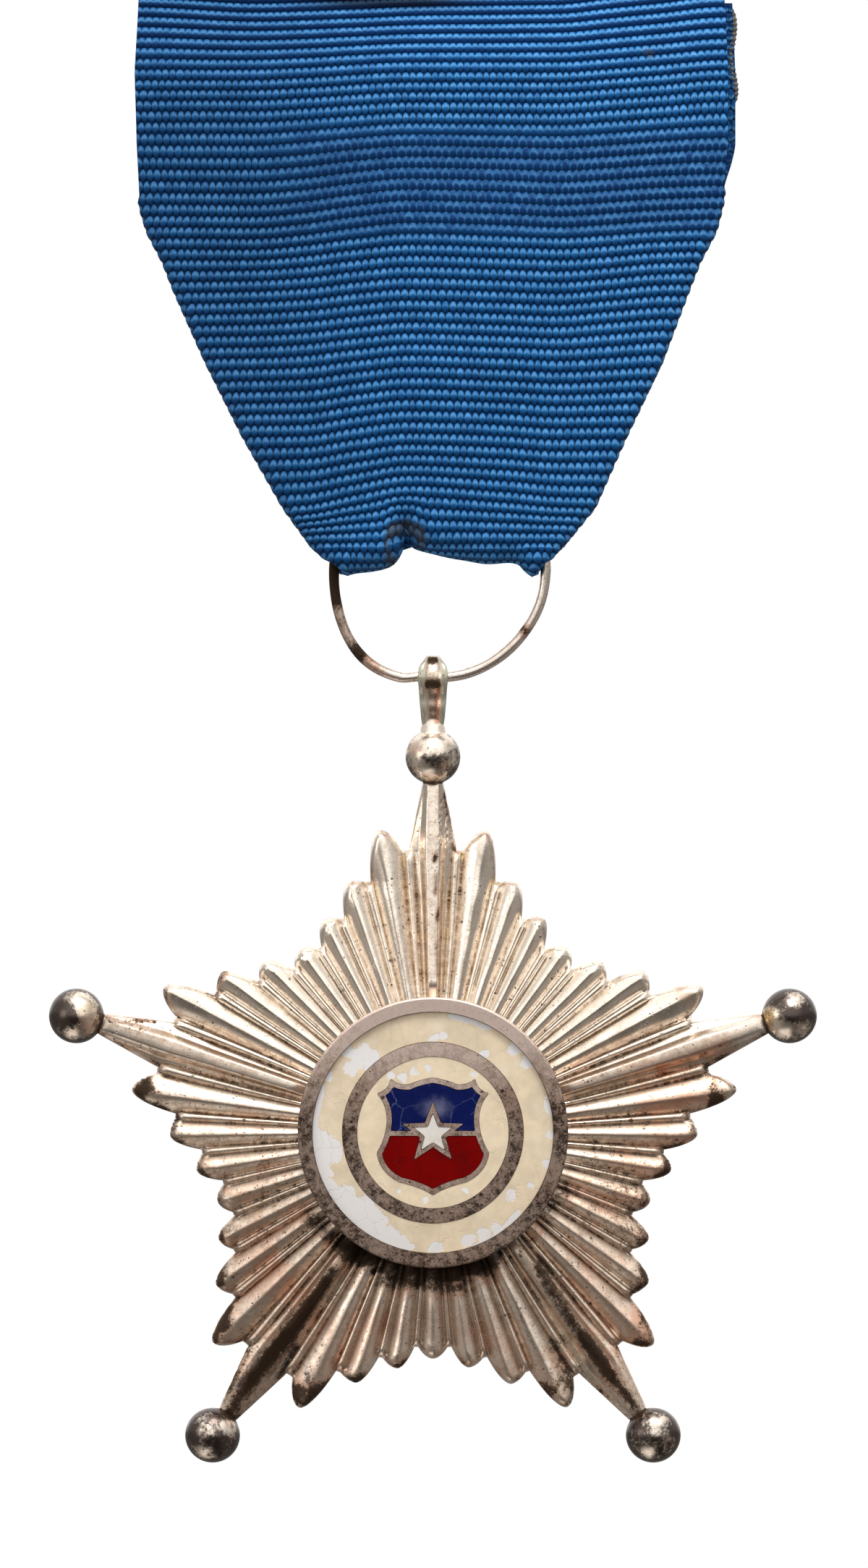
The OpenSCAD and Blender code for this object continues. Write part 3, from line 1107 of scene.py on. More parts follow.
class Tint(Enum):
    """Which number of a ball's mark holds how much of this tint it gives."""

    # the black layer, which on the balls also gives painted dark reflections
    SOOT_AND_REFLECTION = 3
    COPPER = 4
    YELLOW = 5

    def total(self, marks: Sequence[Row], x: Grid, z: Grid) -> Grid:
        """Adds up what the marks give each point of a ball.

        Args:
            marks: The ball's marks.
            x: Places to the right of the ball's middle.
            z: Places above it.

        Returns:
            How much of this tint each place has.
        """
        amounts = [(*mark, 0.0, 0.0)[self.value] for mark in marks]
        spots = [bell(np.hypot(x - mark[0], z - mark[1]), mark[2]) for mark in marks]
        return sum(amount * spot for amount, spot in zip(amounts, spots))


@dataclass
class RayedStar:
    """The star: main rays with balls, a field of keeled rays and beads, collar and bail.

    Lengths are in the star's own plane, x to the right and y up from its middle. Tips and
    notches are rows of degrees from the main ray and radius, and the half notches and ray
    gaps are in degrees. Streaks are rows for streaked().
    A ball's marks are rows of x, z, radius and how much black, copper and yellow they give; their dark and
    light patches are partly tarnish and partly painted reflections.
    """

    places: Places
    sector: float = 72.0
    seat: float = 2.05
    hub: float = 7.6
    neck_end: float = 22.15
    neck_half: float = 0.63
    shoulder_half: float = 1.47
    shoulder: float = 17.9
    reach: float = 23.6
    ball_radius: float = 1.725
    hang_height: float = 1.12
    edge_height: float = 0.5
    edge_rise: float = 1.15
    bevel: float = 0.62
    bead_half: float = 1.0
    notch_half: float = 0.5
    first_notch_half: float = 0.9
    ray_gap: float = 0.95
    first_ray_gap: float = 1.05
    tips: tuple[Row, ...] = ((10.1, 19.25), (18.7, 16.65), (27.2, 15.1), (36.0, 14.3))
    notches: tuple[Row, ...] = ((5.3, 17.8), (14.5, 16.25), (23.0, 14.6), (31.6, 13.6))
    petal: float = 1.85
    rows: int = 56
    # The rows that run along the medallion's lower rim paint a shadow under it.
    streaks: tuple[Row, ...] = (
        (-6.3, -8.8, -11.2, -15.4, 0.42, 0.58), (-8.0, -11.2, -10.4, -14.4, 0.55, 0.25),
        (-11.4, -15.6, -12.9, -17.8, 0.45, 0.5), (6.6, -8.4, 11.1, -15.4, 0.42, 0.54),
        (9.6, -13.0, 12.8, -17.4, 0.42, 0.5), (-5.0, -7.5, 3.4, -8.5, 0.75, 0.6),
        (-2.6, -9.3, 1.6, -9.6, 0.75, 0.5), (-7.6, -5.4, -4.6, -8.0, 0.6, 0.35),
        (8.3, -3.4, 5.6, -7.2, 0.6, 0.22), (7.6, -13.4, 8.6, -16.0, 0.5, 0.4),
        (14.4, -12.0, 16.6, -11.0, 0.7, 0.35), (12.8, -9.6, 15.5, -10.8, 0.55, 0.3),
        (-20.6, 7.1, -17.0, 6.0, 0.35, 0.28), (-16.8, -4.4, -15.2, -4.0, 0.45, 0.35),
        (0.08, 17.1, 0.2, 17.4, 0.14, 0.6), (0.22, 16.1, 0.16, 15.1, 0.13, 0.42),
        (0.32, 13.9, 0.26, 13.3, 0.13, 0.5), (0.2, 11.9, 0.28, 9.8, 0.11, 0.3),
    )
    soot_streaks: tuple[Row, ...] = (
        (-6.7, -9.4, -8.9, -12.8, 0.42, 0.95), (-9.4, -13.0, -11.7, -15.8, 0.6, 1.0),
        (-12.0, -16.3, -12.9, -17.8, 0.5, 0.6), (-9.7, -15.4, -8.6, -13.6, 0.3, 0.7),
        (-7.9, -15.2, -7.6, -16.6, 0.45, 0.65), (7.0, -9.6, 9.6, -13.4, 0.34, 0.7),
        (10.0, -13.8, 12.4, -17.0, 0.42, 0.6), (5.2, -10.6, 6.4, -13.6, 0.25, 0.42),
        (7.9, -15.0, 8.3, -16.6, 0.35, 0.4), (-17.2, -4.6, -15.4, -4.2, 0.35, 0.45),
        (-13.4, -6.6, -12.6, -6.0, 0.35, 0.45),
    )
    copper_streaks: tuple[Row, ...] = (
        (-11.0, -8.5, -7.4, -11.8, 1.3, 0.32), (14.4, 3.9, 18.4, 5.6, 0.5, 0.6),
        (13.2, 1.6, 17.6, 2.1, 0.5, 0.6), (14.4, -0.6, 16.4, -0.6, 0.5, 0.5),
        (12.8, -2.3, 14.6, -2.7, 0.45, 0.5), (11.8, -4.0, 13.4, -4.5, 0.45, 0.4),
        (-3.4, -12.2, 3.4, -12.4, 1.8, 0.2), (10.0, -10.0, 13.0, -13.0, 1.4, 0.25),
        (-6.0, -14.5, -3.5, -12.0, 1.1, 0.25), (3.0, -12.5, 7.5, -16.5, 0.9, 0.22),
    )
    ball_soot: Row = (0.2, 0.52, 0.62, 0.58, 0.56)
    # dark and light patches on the balls, partly tarnish and partly painted reflections
    ball_marks: tuple[tuple[Row, ...], ...] = (
        (
            (0.3, -0.25, 0.7, 0.5), (-0.6, -0.15, 0.4, 0.3), (1.3, 0.3, 0.5, 0.3), (1.1, -0.9, 0.5, 0.35),
            (-1.2, 0.5, 0.5, 0.15, 0.45), (0.6, -0.55, 0.35, -0.2, 0.7), (-1.2, -0.7, 0.5, 0.25),
        ),
        (
            (0.9, 0.2, 0.6, 0.45), (0.0, 0.05, 0.5, 0.35), (-0.7, 1.1, 0.6, 0.3), (0.35, 0.9, 0.45, -0.25),
            (-0.4, -0.8, 0.5, -0.45), (-1.45, 0.0, 0.55, -0.4, 0.0, 0.85), (0.6, -0.7, 0.45, -0.2, 0.2),
        ),
        (
            (0.05, 0.58, 0.5, -0.15), (-0.4, -0.95, 0.4, -0.45), (0.7, -0.5, 0.4, 0.0, 0.3),
            (-0.9, 0.4, 0.5, 0.15), (0.5, 1.0, 0.3, -0.3, 0.1), (1.3, 0.3, 0.3, 0.2),
        ),
        (
            (-0.3, 0.35, 0.45, -0.2), (1.15, 0.5, 0.4, -0.5), (-0.65, -1.15, 0.4, -0.4),
            (0.4, -0.4, 0.7, 0.3), (-1.2, 0.2, 0.6, 0.3), (0.2, 1.1, 0.4, 0.3), (0.7, 0.8, 0.3, -0.3),
        ),
        (
            (-1.15, 0.3, 0.7, 0.75), (-0.35, -0.1, 0.42, 0.6), (0.4, 1.0, 0.6, -0.38),
            (0.6, -0.5, 0.6, -0.35, 0.6), (-0.2, -1.05, 0.35, -0.3), (0.8, 0.5, 0.5, -0.2, 0.0, 0.3),
        ),
    )

    def column_angles(self) -> Grid:
        """Spaces the columns of half a sector, closer where rays and beads meet.

        Returns:
            Degrees from the main ray.
        """
        stops = [0.0, 1.86, 4.7, 6.2, 10.1, 14.0, 15.0, 18.7, 22.5, 23.5, 27.2, 31.1, 32.1, 36.0]
        counts = [8, 15, 8, 12, 13, 6, 9, 10, 6, 9, 9, 6, 9]
        spans = zip(stops, stops[1:], counts)
        return np.concatenate([np.linspace(*span, endpoint=False) for span in spans] + [[36.0]])

    def drifted(self, angle: Grid, radius: Grid) -> Grid:
        """Returns a column's angle at a radius: the first bead runs nearly parallel to the main ray."""
        return angle + bell(angle - 5.3, 1.7) * 0.105 * (13.5 - radius)

    def outline(self, angle: Grid, tips: Sequence[Row]) -> Grid:
        """Radius of the star's edge.

        Args:
            angle: Degrees from the main ray, from 0 to 36.
            tips: Angle and radius of the tips of this half sector.

        Returns:
            Radius for each angle.
        """
        turn = np.radians(angle)
        run = self.shoulder_half - self.neck_half
        fall = self.shoulder - self.neck_end
        top = self.neck_half * fall - self.neck_end * run
        head = top / (np.sin(turn) * fall - np.cos(turn) * run)
        head_end = math.degrees(math.atan2(self.shoulder_half, self.shoulder))
        radius = np.where(angle < head_end, np.minimum(self.neck_end, head), self.notches[0][1])
        for k, (tip, reach) in enumerate(tips):
            for j, (notch, floor) in enumerate(self.notches[k:k + 2]):
                edge = notch + (-self.notch_half if j else self.notch_half if k else self.first_notch_half)
                share = np.clip((tip - angle) / (tip - edge), 0.0, 1.0)
                flank = floor + (reach - floor) * (1.0 - share**self.petal)
                low, high = (tip, edge) if j else (edge, tip)
                radius = np.where((angle > low) & (angle <= high), flank, radius)
                if j:
                    flat = (angle > edge) & (angle <= notch + self.notch_half)
                    radius = np.where(flat, floor, radius)
        return radius

    def relief(self, angle: Grid, radius: Grid) -> tuple[Grid, Grid]:
        """Height of the front before its edges are bevelled.

        Args:
            angle: Degrees from the nearest main ray.
            radius: Distance from the middle.

        Returns:
            Height above the flat back, and how deep in a hollow each point lies.
        """
        valley = np.interp(radius, [8, 10, 13, 16, 21.6], [1.62, 1.42, 1.15, 0.95, 0.85])
        raised = np.zeros_like(radius)
        ray_rise = np.interp(radius, [8.4, 11, 15, 20], [0.42, 0.56, 0.66, 0.6])
        bead_rise = np.interp(radius, [8.4, 17], [0.27, 0.36])
        ends = [notch for notch, _ in self.notches[1:]] + [self.sector - self.notches[-1][0]]
        for k, (notch, floor) in enumerate(self.notches):
            off = (angle - self.drifted(np.full_like(radius, notch), radius)) / self.bead_half
            round_end = np.sqrt(np.clip(1.0 - ease(radius, floor - 0.55, floor - 0.1), 0.0, 1.0))
            bead = bead_rise * np.sqrt(np.clip(1.0 - off**2, 0.0, 1.0)) * round_end
            middle = self.tips[k][0]
            start = notch + (self.ray_gap if k else self.first_ray_gap)
            end = ends[k] - self.ray_gap
            off = np.abs(angle - middle) / np.where(angle < middle, middle - start, end - middle)
            ray = ray_rise * (1.0 - np.clip(off, 0.0, 1.0) ** 1.6)
            raised = np.maximum(np.maximum(raised, bead), np.where(off < 1.0, ray, 0.0))
        away = radius * np.sin(np.radians(angle))
        crown = np.interp(radius, [8.4, 9.2, 21.6], [2.04, 2.3, 1.5]) - valley
        band = np.interp(radius, [8.5, 14.9, 17, 21.5], [0.24, 0.33, 0.38, 0.36])
        foot = np.interp(radius, [8.5, 14.9, 18, 21.5], [0.48, 0.75, 0.98, 0.62])
        edge = np.interp(radius, [8.5, 14.9, 17.9, 21.5], [0.68, 1.06, 1.52, 0.78])
        steep = 1.0 - ease((away - 0.9 * band) / (foot - 0.9 * band), 0.0, 1.0)
        skirt = 1.0 - np.clip((away - foot) / (edge - foot), 0.0, 1.0)
        main = crown * (0.72 * steep + 0.28 * skirt) - 0.02 * np.clip(away / band, 0.0, 1.0) ** 2
        raised = np.maximum(raised, np.where(away < edge, main, 0.0))
        return valley + raised, 1.0 - np.clip(raised / 0.2, 0.0, 1.0)

    def half_sector(self, rng: np.random.Generator, gap_tip: Row) -> tuple[Grid, Grid]:
        """Builds the columns of half a sector.

        Args:
            rng: Gives each ray its own small error of hand work.
            gap_tip: Tip in the middle of the gap, which two half sectors share.

        Returns:
            Angle and radius of each point of the front.
        """
        tips = [
            (tip + rng.uniform(-0.15, 0.15), reach + rng.uniform(-0.12, 0.12))
            for tip, reach in self.tips[:-1]
        ]
        tips.append(gap_tip)
        columns = self.column_angles()
        edge = self.outline(columns, tips)
        for _ in range(3):
            edge = self.outline(self.drifted(columns, edge), tips)
        share = np.linspace(0.0, 1.0, self.rows)[:, None] ** 0.9
        radius = self.hub + (edge[None] - self.hub) * share
        return self.drifted(columns[None], radius), radius

    def build(self) -> Piece:
        """Builds the star as one piece.

        Returns:
            The piece, which replaces the star's CAD node.
        """
        shape = Shape("star_metal")
        self.add_field(shape)
        for k in range(5):
            self.add_ball(shape, k)
        self.add_collar(shape)
        Bail(self.places).add_to(shape)
        bright, toned = (0.92, 0.82, 0.71), (0.565, 0.445, 0.35)
        finish = MetalFinish("tarnished_star_metal", bright, toned, roughness=0.13, crusted=True)
        star = shape.build(finish.material(), sharp_deg=38.0)
        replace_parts(star, "star")
        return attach(star, "star_drop")

    def world_points(self, x: Grid, y: Grid, height: Grid) -> Grid:
        """Turns places in the star's own plane into places of the frame.

        Args:
            x: Places to the right of the star's middle.
            y: Places above it.
            height: Heights above the flat back.

        Returns:
            Array whose last axis holds x, y and z, in millimetres.
        """
        middle = self.places.star_middle
        back = self.places.medallion_back + self.seat
        return np.stack([middle.x + x, back - height, middle.z + y], axis=-1)

    def add_field(self, shape: Shape) -> None:
        """Adds the rays, their edge and the flat back.

        Args:
            shape: Mesh that takes them.
        """
        rng = np.random.default_rng(5)
        gap_tips = [(36.0, self.tips[-1][1] + rng.uniform(-0.1, 0.1)) for _ in range(5)]
        angle, turn, radius = [], [], []
        for k, gap_tip in enumerate(gap_tips):
            right, right_radius = self.half_sector(rng, gap_tip)
            left, left_radius = self.half_sector(rng, gap_tip)
            angle += [right[:, :-1], left[:, :0:-1]]
            turn += [k * self.sector + right[:, :-1], (k + 1) * self.sector - left[:, :0:-1]]
            radius += [right_radius[:, :-1], left_radius[:, :0:-1]]
        angles, turns, radii = (np.concatenate(part, axis=1) for part in (angle, turn, radius))
        height, hollow = self.relief(angles, radii)
        x = radii * np.sin(np.radians(turns))
        y = radii * np.cos(np.radians(turns))
        away = self.edge_distance(x, y)
        inward = 1.0 - np.clip(away / self.bevel, 0.0, 1.0)
        rounded = self.edge_height + self.edge_rise * np.sqrt(np.clip(1.0 - inward**2, 0.0, 1.0))
        far_above = 9.0
        height = soft_min(height, np.where(away < self.bevel, rounded, far_above), 0.16)
        front = self.world_points(x, y, height + 0.012 * ripple(x, y, 2.6, 3))
        grease = ease(y, 5.0, 12.0) * ease(np.abs(x), 10.0, 4.0) * ease(ripple(x, y, 1.6, 33), -0.4, 0.7)
        index = shape.add_grid(
            front, hollow=hollow * ease(away, 0.0, 0.3), patina=self.patina(x, y, away),
            copper=streaked(self.copper_streaks, x, y), yellow=0.5 * hollow**3 * grease,
            soot=self.soot(x, y), filed=self.filing(x, y),
        )
        shape.close(index[0], self.world_points(0.0, 0.0, 1.9), hollow=1.0)
        rim_x, rim_y = x[-1], y[-1]
        inset = 1.0 - 0.06 / np.hypot(rim_x, rim_y)
        levels = [(1.0, self.edge_height - 0.08), (1.0, 0.08), (inset, 0.0), (0.62, 0.0), (0.25, 0.0)]
        back = [self.world_points(rim_x * s, rim_y * s, np.full_like(rim_x, h)) for s, h in levels]
        index = shape.add_grid(np.stack([front[-1], *back]), patina=0.12)
        shape.close(index[-1], self.world_points(0.0, 0.0, 0.0), patina=0.2)

    def edge_distance(self, x: Grid, y: Grid) -> Grid:
        """Measures how far each place is from the star's edge.

        Args:
            x: Places to the right of the middle, with the edge in the last row.
            y: Places above the middle.

        Returns:
            The distances.
        """
        rim = np.stack([x[-1], y[-1]], axis=-1)
        following = np.roll(rim, -1, axis=0)
        fine = np.concatenate([mix(rim, following, s) for s in np.linspace(0.0, 1.0, 8, endpoint=False)])
        tree = KDTree(len(fine))
        for k, (px, py) in enumerate(fine):
            tree.insert((px, py, 0.0), k)
        tree.balance()
        found = [tree.find((px, py, 0.0))[2] for px, py in zip(x.ravel(), y.ravel())]
        return np.array(found).reshape(x.shape)

    def patina(self, x: Grid, y: Grid, away: Grid) -> Grid:
        """Tarnishes the star along old streaks and darkens it towards the bottom, partly as tarnish and
        partly as painted shade.

        Args:
            x: Places to the right of the middle.
            y: Places above the middle.
            away: Distance of each place from the star's edge.

        Returns:
            How tarnished each place is.
        """
        side = np.abs(x)
        radius = np.hypot(x, y)
        turn = np.mod(np.degrees(np.arctan2(x, y)), self.sector)
        turn = np.minimum(turn, self.sector - turn)
        past = radius - np.interp(turn, *zip(*self.notches))
        rim = ease(away, 0.5, 0.05) * ease(radius, 13.4, 15.5)
        tips = ease(past, 0.0, 1.15) * ease(turn, 5.4, 6.8) * ease(ripple(x, y, 2.4, 17), -0.9, 0.6)
        return (
            # the rise towards the bottom is partly tarnish and partly painted shade of the downward-tilted
            # lower rays
            0.03 + 0.19 * ease(y, 4.0, -8.0)
            + 0.13 * ease(x, 2.0, 12.0) * ease(y, 8.0, 4.0) * ease(y, -11.0, -6.0)
            + 0.13 * ease(side, 6.0, 11.0) * ease(y, 9.0, 4.0) * ease(y, -9.0, -4.0)
            + 0.08 * ease(x, -5.0, -9.0) * ease(y, 9.0, 4.0)
            + 0.13 * ease(side, 3.0, 1.6) * ease(y, 8.0, 10.0)
            - 0.06 * ease(side, 6.0, 3.0) * ease(y, -8.0, -11.0)
            + streaked(self.streaks, x, y)
            + 0.4 * rim * ease(ripple(x, y, 4.0, 21), -0.4, 0.8)
            + (0.08 + 0.55 * ease(y, 13.0, 3.0)) * tips
        )

    def soot(self, x: Grid, y: Grid) -> Grid:
        """Lays black crust on the lower main rays, and a dark band under the medallion's rim that is partly
        crust and partly painted shadow.

        Args:
            x: Places to the right of the middle.
            y: Places above the middle.

        Returns:
            How much crust and painted shadow each place has.
        """
        radius = np.hypot(x, y)
        # painted shadow and crust under the medallion's lower rim, with ragged edges
        crust = 1.1 * ease(radius + 0.25 * ripple(x, y, 0.9, 27), 10.1, 8.8) * ease(y, -5.4, -7.2)
        return crust * ease(x, 5.6, 3.4) + streaked(self.soot_streaks, x, y)

    def filing(self, x: Grid, y: Grid) -> Grid:
        """Cuts small file marks into the right flank of the upper main ray.

        Args:
            x: Places to the right of the middle.
            y: Places above the middle.

        Returns:
            Relief in millimetres.
        """
        inside = ease(x, 0.2, 0.4) * ease(x, 1.45, 1.2) * ease(y, 17.6, 18.4) * ease(y, 21.2, 20.6)
        cut = np.sin(TURN * (y - 0.9 * x + 0.1 * ripple(x, y, 0.8, 9)) / 0.42)
        return -0.05 * inside * ease(cut, 0.3, 1.0)

    def add_ball(self, shape: Shape, number: int) -> None:
        """Adds a ball on its neck.

        Args:
            shape: Mesh that takes it.
            number: Which main ray it ends, counted clockwise from the top.
        """
        turn = math.radians(number * self.sector)
        arc = np.linspace(0.0, math.pi, 44)
        ball = self.ball_radius
        profile = np.stack([self.reach - ball * np.cos(arc), ball * np.sin(arc)], axis=-1)
        axis = Vector((math.sin(turn), 0.0, math.cos(turn)))
        foot = Vector(self.world_points(0.0, 0.0, self.hang_height))
        points = lathe(profile, foot, axis, segments=64)
        hollow = ease(arc, 0.56, 0.42)[:, None]
        middle = foot + self.reach * axis
        x, depth, rise = points[..., 0] - middle.x, points[..., 1], points[..., 2] - middle.z
        marks = self.ball_marks[number]
        soot = self.ball_soot[number] + Tint.SOOT_AND_REFLECTION.total(marks, x, rise)
        # painted shade round each ball's outline as seen from the front
        soot = soot + 0.3 * ease(np.hypot(x, rise), 0.8 * ball, ball)
        blur = ripple(x + 0.6 * depth, rise, 0.62, 40 + number)
        blur = blur * ripple(x, rise + 0.8 * depth, 0.5, 50 + number)
        shape.add_grid(
            points, hollow=hollow * 1.3, patina=0.12 + 0.3 * hollow, soot=ease(soot + 0.07 * blur, 0.0, 1.0),
            copper=Tint.COPPER.total(marks, x, rise), yellow=Tint.YELLOW.total(marks, x, rise),
        )

    def add_collar(self, shape: Shape) -> None:
        """Adds the collar between the top ball and the bail.

        Args:
            shape: Mesh that takes it.
        """
        sunk = 0.42
        low = self.reach + self.ball_radius - sunk
        steps = (0.0, 0.0, 0.16, 0.34, 0.6, 0.74, 0.84, 0.88, 0.88)
        widths = (0.1, 1.08, 0.93, 0.84, 0.79, 0.74, 0.62, 0.4, 0.1)
        profile = np.array([(low + step, width) for step, width in zip(steps, widths)])
        foot = Vector(self.world_points(0.0, 0.0, self.hang_height))
        shape.add_grid(lathe(profile, foot, Vector((0.0, 0.0, 1.0)), segments=48), patina=0.02)


@dataclass
class Bail:
    """The eye and shank that hold the ring, with a channel between two side ridges.

    Widths are rows of height from the hinge and width. A section lies at each span, which is a
    share of half the width. The first section is the bore, insets round the next ones off, and
    dips sink the rest into the channel.
    """

    places: Places
    eye_radius: float = 1.4
    bore: float = 0.525
    depth: float = 0.85
    foot: float = 3.2
    foot_depth: float = 0.5
    channel: float = 0.2
    widths: tuple[Row, ...] = (
        (-3.2, 1.3), (-2.6, 1.5), (-0.7, 1.8), (0.1, 1.95), (0.75, 1.75), (1.2, 1.15), (1.4, 0.8)
    )
    spans: Row = (1.0, 1.0, 0.93, 0.8, 0.62, 0.45, 0.3, 0.15, 0.0)
    insets: Row = (0.0, 0.16, 0.04, 0.0)
    dips: Row = (0.0, 0.0, 0.0, 0.0, 0.05, 0.6, 0.9, 1.0, 1.0)

    def rim(self) -> Grid:
        """Draws the outline seen from the side, with smoothed corners.

        Returns:
            Rows of [depth, height] from the hinge.
        """
        low = -math.sqrt(self.eye_radius**2 - self.depth**2)
        start = math.atan2(low, self.depth)
        arc = np.linspace(start, math.pi - start, 41)
        head = np.stack([self.eye_radius * np.cos(arc), self.eye_radius * np.sin(arc)], axis=-1)
        down = np.linspace(low, -self.foot, 16)[1:]
        depth = mix(self.depth, self.foot_depth, ease(down, -2.0, -2.75))
        base = np.linspace(-self.foot_depth, self.foot_depth, 6)[1:-1]
        under = np.stack([base, np.full_like(base, -self.foot)], axis=-1)
        back, front = (np.stack([side * depth, down], axis=-1) for side in (-1.0, 1.0))
        outline = np.concatenate([head, back, under, front[::-1]])
        for _ in range(4):
            outline = (np.roll(outline, 1, axis=0) + 2 * outline + np.roll(outline, -1, axis=0)) / 4
        return outline

    def add_to(self, shape: Shape) -> None:
        """Adds the bail as a closed loop of sections round its bore.

        Args:
            shape: Mesh that takes it.
        """
        rim = self.rim()
        fore, height = rim[:, 0], rim[:, 1]
        half = np.interp(height, *zip(*self.widths)) / 2
        front = ease(fore, 0.1, 0.6) * ease(height, 1.25, 0.9) * self.channel * ease(height, -3.1, -2.6)
        along = np.roll(rim, -1, axis=0) - np.roll(rim, 1, axis=0)
        outward = np.stack([along[:, 1], -along[:, 0]], axis=-1)
        outward /= np.linalg.norm(outward, axis=-1, keepdims=True)
        facing = ease(fore, 0.0, 0.5)
        # painted shade: dark bands on the front at the top of the eye and just below the bore
        dark = 0.75 * (bell(height + 0.5, 0.32) + bell(height - 1.15, 0.18)) * facing
        count = len(self.spans)
        rows = []
        for k in [*range(count), *range(count - 2, -1, -1)]:
            span = self.spans[k] if len(rows) < count else -self.spans[k]
            sunk = self.insets[k] if k < len(self.insets) else (self.dips[k] * front)[:, None]
            place = rim - outward * sunk if k else rim / np.hypot(fore, height)[:, None] * self.bore
            ridge = float(ease(abs(span), 0.5, 0.66))
            strip = float(ease(span, 0.05, 0.2) * ease(span, 0.66, 0.5))
            rows.append(np.stack([
                span * half, -place[:, 0], place[:, 1],
                0.5 * self.dips[k] * front / self.channel,
                # painted reflection: a copper-brown strip down the right of the channel on the shank
                0.9 * strip * facing * ease(height, -0.5, -0.9),
                ridge * (0.75 + 0.15 * ease(height, -0.6, 0.4)),
                0.16 - 0.06 * ridge + dark * (1.0 - ridge),
            ]))
        x, y, z, hollow, copper, green, patina = np.stack(rows, axis=-1)
        points = np.stack([x, y, z], axis=-1) + np.array(self.places.hinge)
        shape.add_grid(points, Loops.BOTH, hollow=hollow, copper=copper, green=green, patina=patina)


@dataclass
class WireRing:
    """The plain wire ring in the ribbon's fold, bent out of round at its lower left."""

    places: Places
    low_left_bend: float = 0.62
    low_right_bend: float = -0.14
    segments: int = 320
    wire_segments: int = 24

    def build(self) -> Piece:
        """Builds the ring, darker at its left and black along its left side above the lowest part.

        Returns:
            The piece, which replaces the ring's CAD node.
        """
        turns, around = circle(self.segments)[:, None], circle(self.wire_segments)[None]
        bent = self.low_left_bend * bell(turns - 4.05, 0.52) * ease(turns, 4.59, 4.35)
        bent = bent + self.low_right_bend * bell(turns - 5.5, 0.5)
        thick = self.places.wire / 2 * (1.0 + 0.03 * np.sin(5.0 * turns) + 0.02 * np.sin(13.0 * turns))
        reach = self.places.ring_radius + bent + thick * np.cos(around)
        points = np.stack([reach * np.cos(turns), thick * np.sin(around), reach * np.sin(turns)], axis=-1)
        left = ease(np.cos(turns), -0.3, -0.6)
        black = left * ease(np.sin(turns), -0.38, -0.26)
        spots = bell(turns - 5.68, 0.06) + bell(turns - 3.92, 0.08)
        shape = Shape("wire_ring")
        worn = 0.08 + 0.3 * left + 0.6 * black + 0.55 * spots
        shape.add_grid(points + np.array(self.places.ring_middle), Loops.BOTH, patina=worn)
        bright, toned = (0.82, 0.72, 0.64), (0.42, 0.32, 0.26)
        finish = MetalFinish("worn_ring_wire", bright, toned, roughness=0.2, scratch=0.5)
        ring = shape.build(finish.material())
        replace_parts(ring, "ring")
        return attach(ring, "ribbon_drop")


def round_edges(work: bmesh.types.BMesh, edges: Edges, width: float, segments: int) -> None:
    """Rounds edges.

    Args:
        work: Mesh that holds them.
        edges: Which edges.
        width: Width of the rounding, in millimetres.
        segments: Faces across it.
    """
    bmesh.ops.bevel(
        work, geom=edges, offset=width * MM, segments=segments, profile=0.5,
        affect="EDGES", clamp_overlap=True,
    )


def bent_edges(work: bmesh.types.BMesh, least_deg: float) -> Edges:
    """Returns the edges whose two faces meet at more than this angle."""
    return [e for e in work.edges if e.is_manifold and e.calc_face_angle(0.0) > math.radians(least_deg)]


def carved(node: str, name: str, material: Material, edge: float, corner: float, rim: float = 0.0) -> Piece:
    """Makes a piece from a CAD node's own faces, with its edges rounded.

    Args:
        node: Name of the CAD node.
        name: Name of the new piece.
        material: Its finish.
        edge: Width of the rounding, in millimetres.
        corner: Width of the rounding of corners that run front to back.
        rim: Width of the rounding of the outermost edges, where it differs.

    Returns:
        The new piece, which replaces the node.
    """
    mesh = bpy.data.meshes.new(name)
    work = bmesh.new()
    work.from_mesh(bpy.data.objects[node].data)
    bmesh.ops.remove_doubles(work, verts=work.verts, dist=1e-6)
    bmesh.ops.dissolve_limit(work, angle_limit=math.radians(0.5), verts=work.verts, edges=work.edges)
    bent = bent_edges(work, least_deg=20.0)
    upright = [e for e in bent if abs((e.verts[1].co - e.verts[0].co).normalized().y) > 0.99]
    round_edges(work, upright, corner, segments=4)
    if rim:
        low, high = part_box(node)
        middle = (low + high) / 2
        far = (high.x - low.x) / 2 - 0.1 * MM
        outer = [
            e for e in bent_edges(work, least_deg=60.0)
            if all(math.hypot(v.co.x - middle.x, v.co.z - middle.z) > far for v in e.verts)
        ]
        round_edges(work, outer, rim, segments=5)
    round_edges(work, bent_edges(work, least_deg=30.0), edge, segments=3)
    bmesh.ops.triangulate(work, faces=work.faces)
    work.to_mesh(mesh)
    work.free()
    made = finish_mesh(name, mesh, material, sharp_deg=13.0)
    border_flat_faces(mesh)
    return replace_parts(made, node)


def border_flat_faces(mesh: bpy.types.Mesh) -> None:
    """Makes every edge sharp where a face that looks straight forward meets a tilted one.

    Args:
        mesh: Mesh to mark.
    """
    sides: dict[tuple[int, int], set[bool]] = {}
    for face in mesh.polygons:
        for key in face.edge_keys:
            sides.setdefault(key, set()).add(abs(face.normal.y) > 0.9999)
    for edge in mesh.edges:
        if len(sides.get(edge.key, ())) == 2:
            edge.use_edge_sharp = True


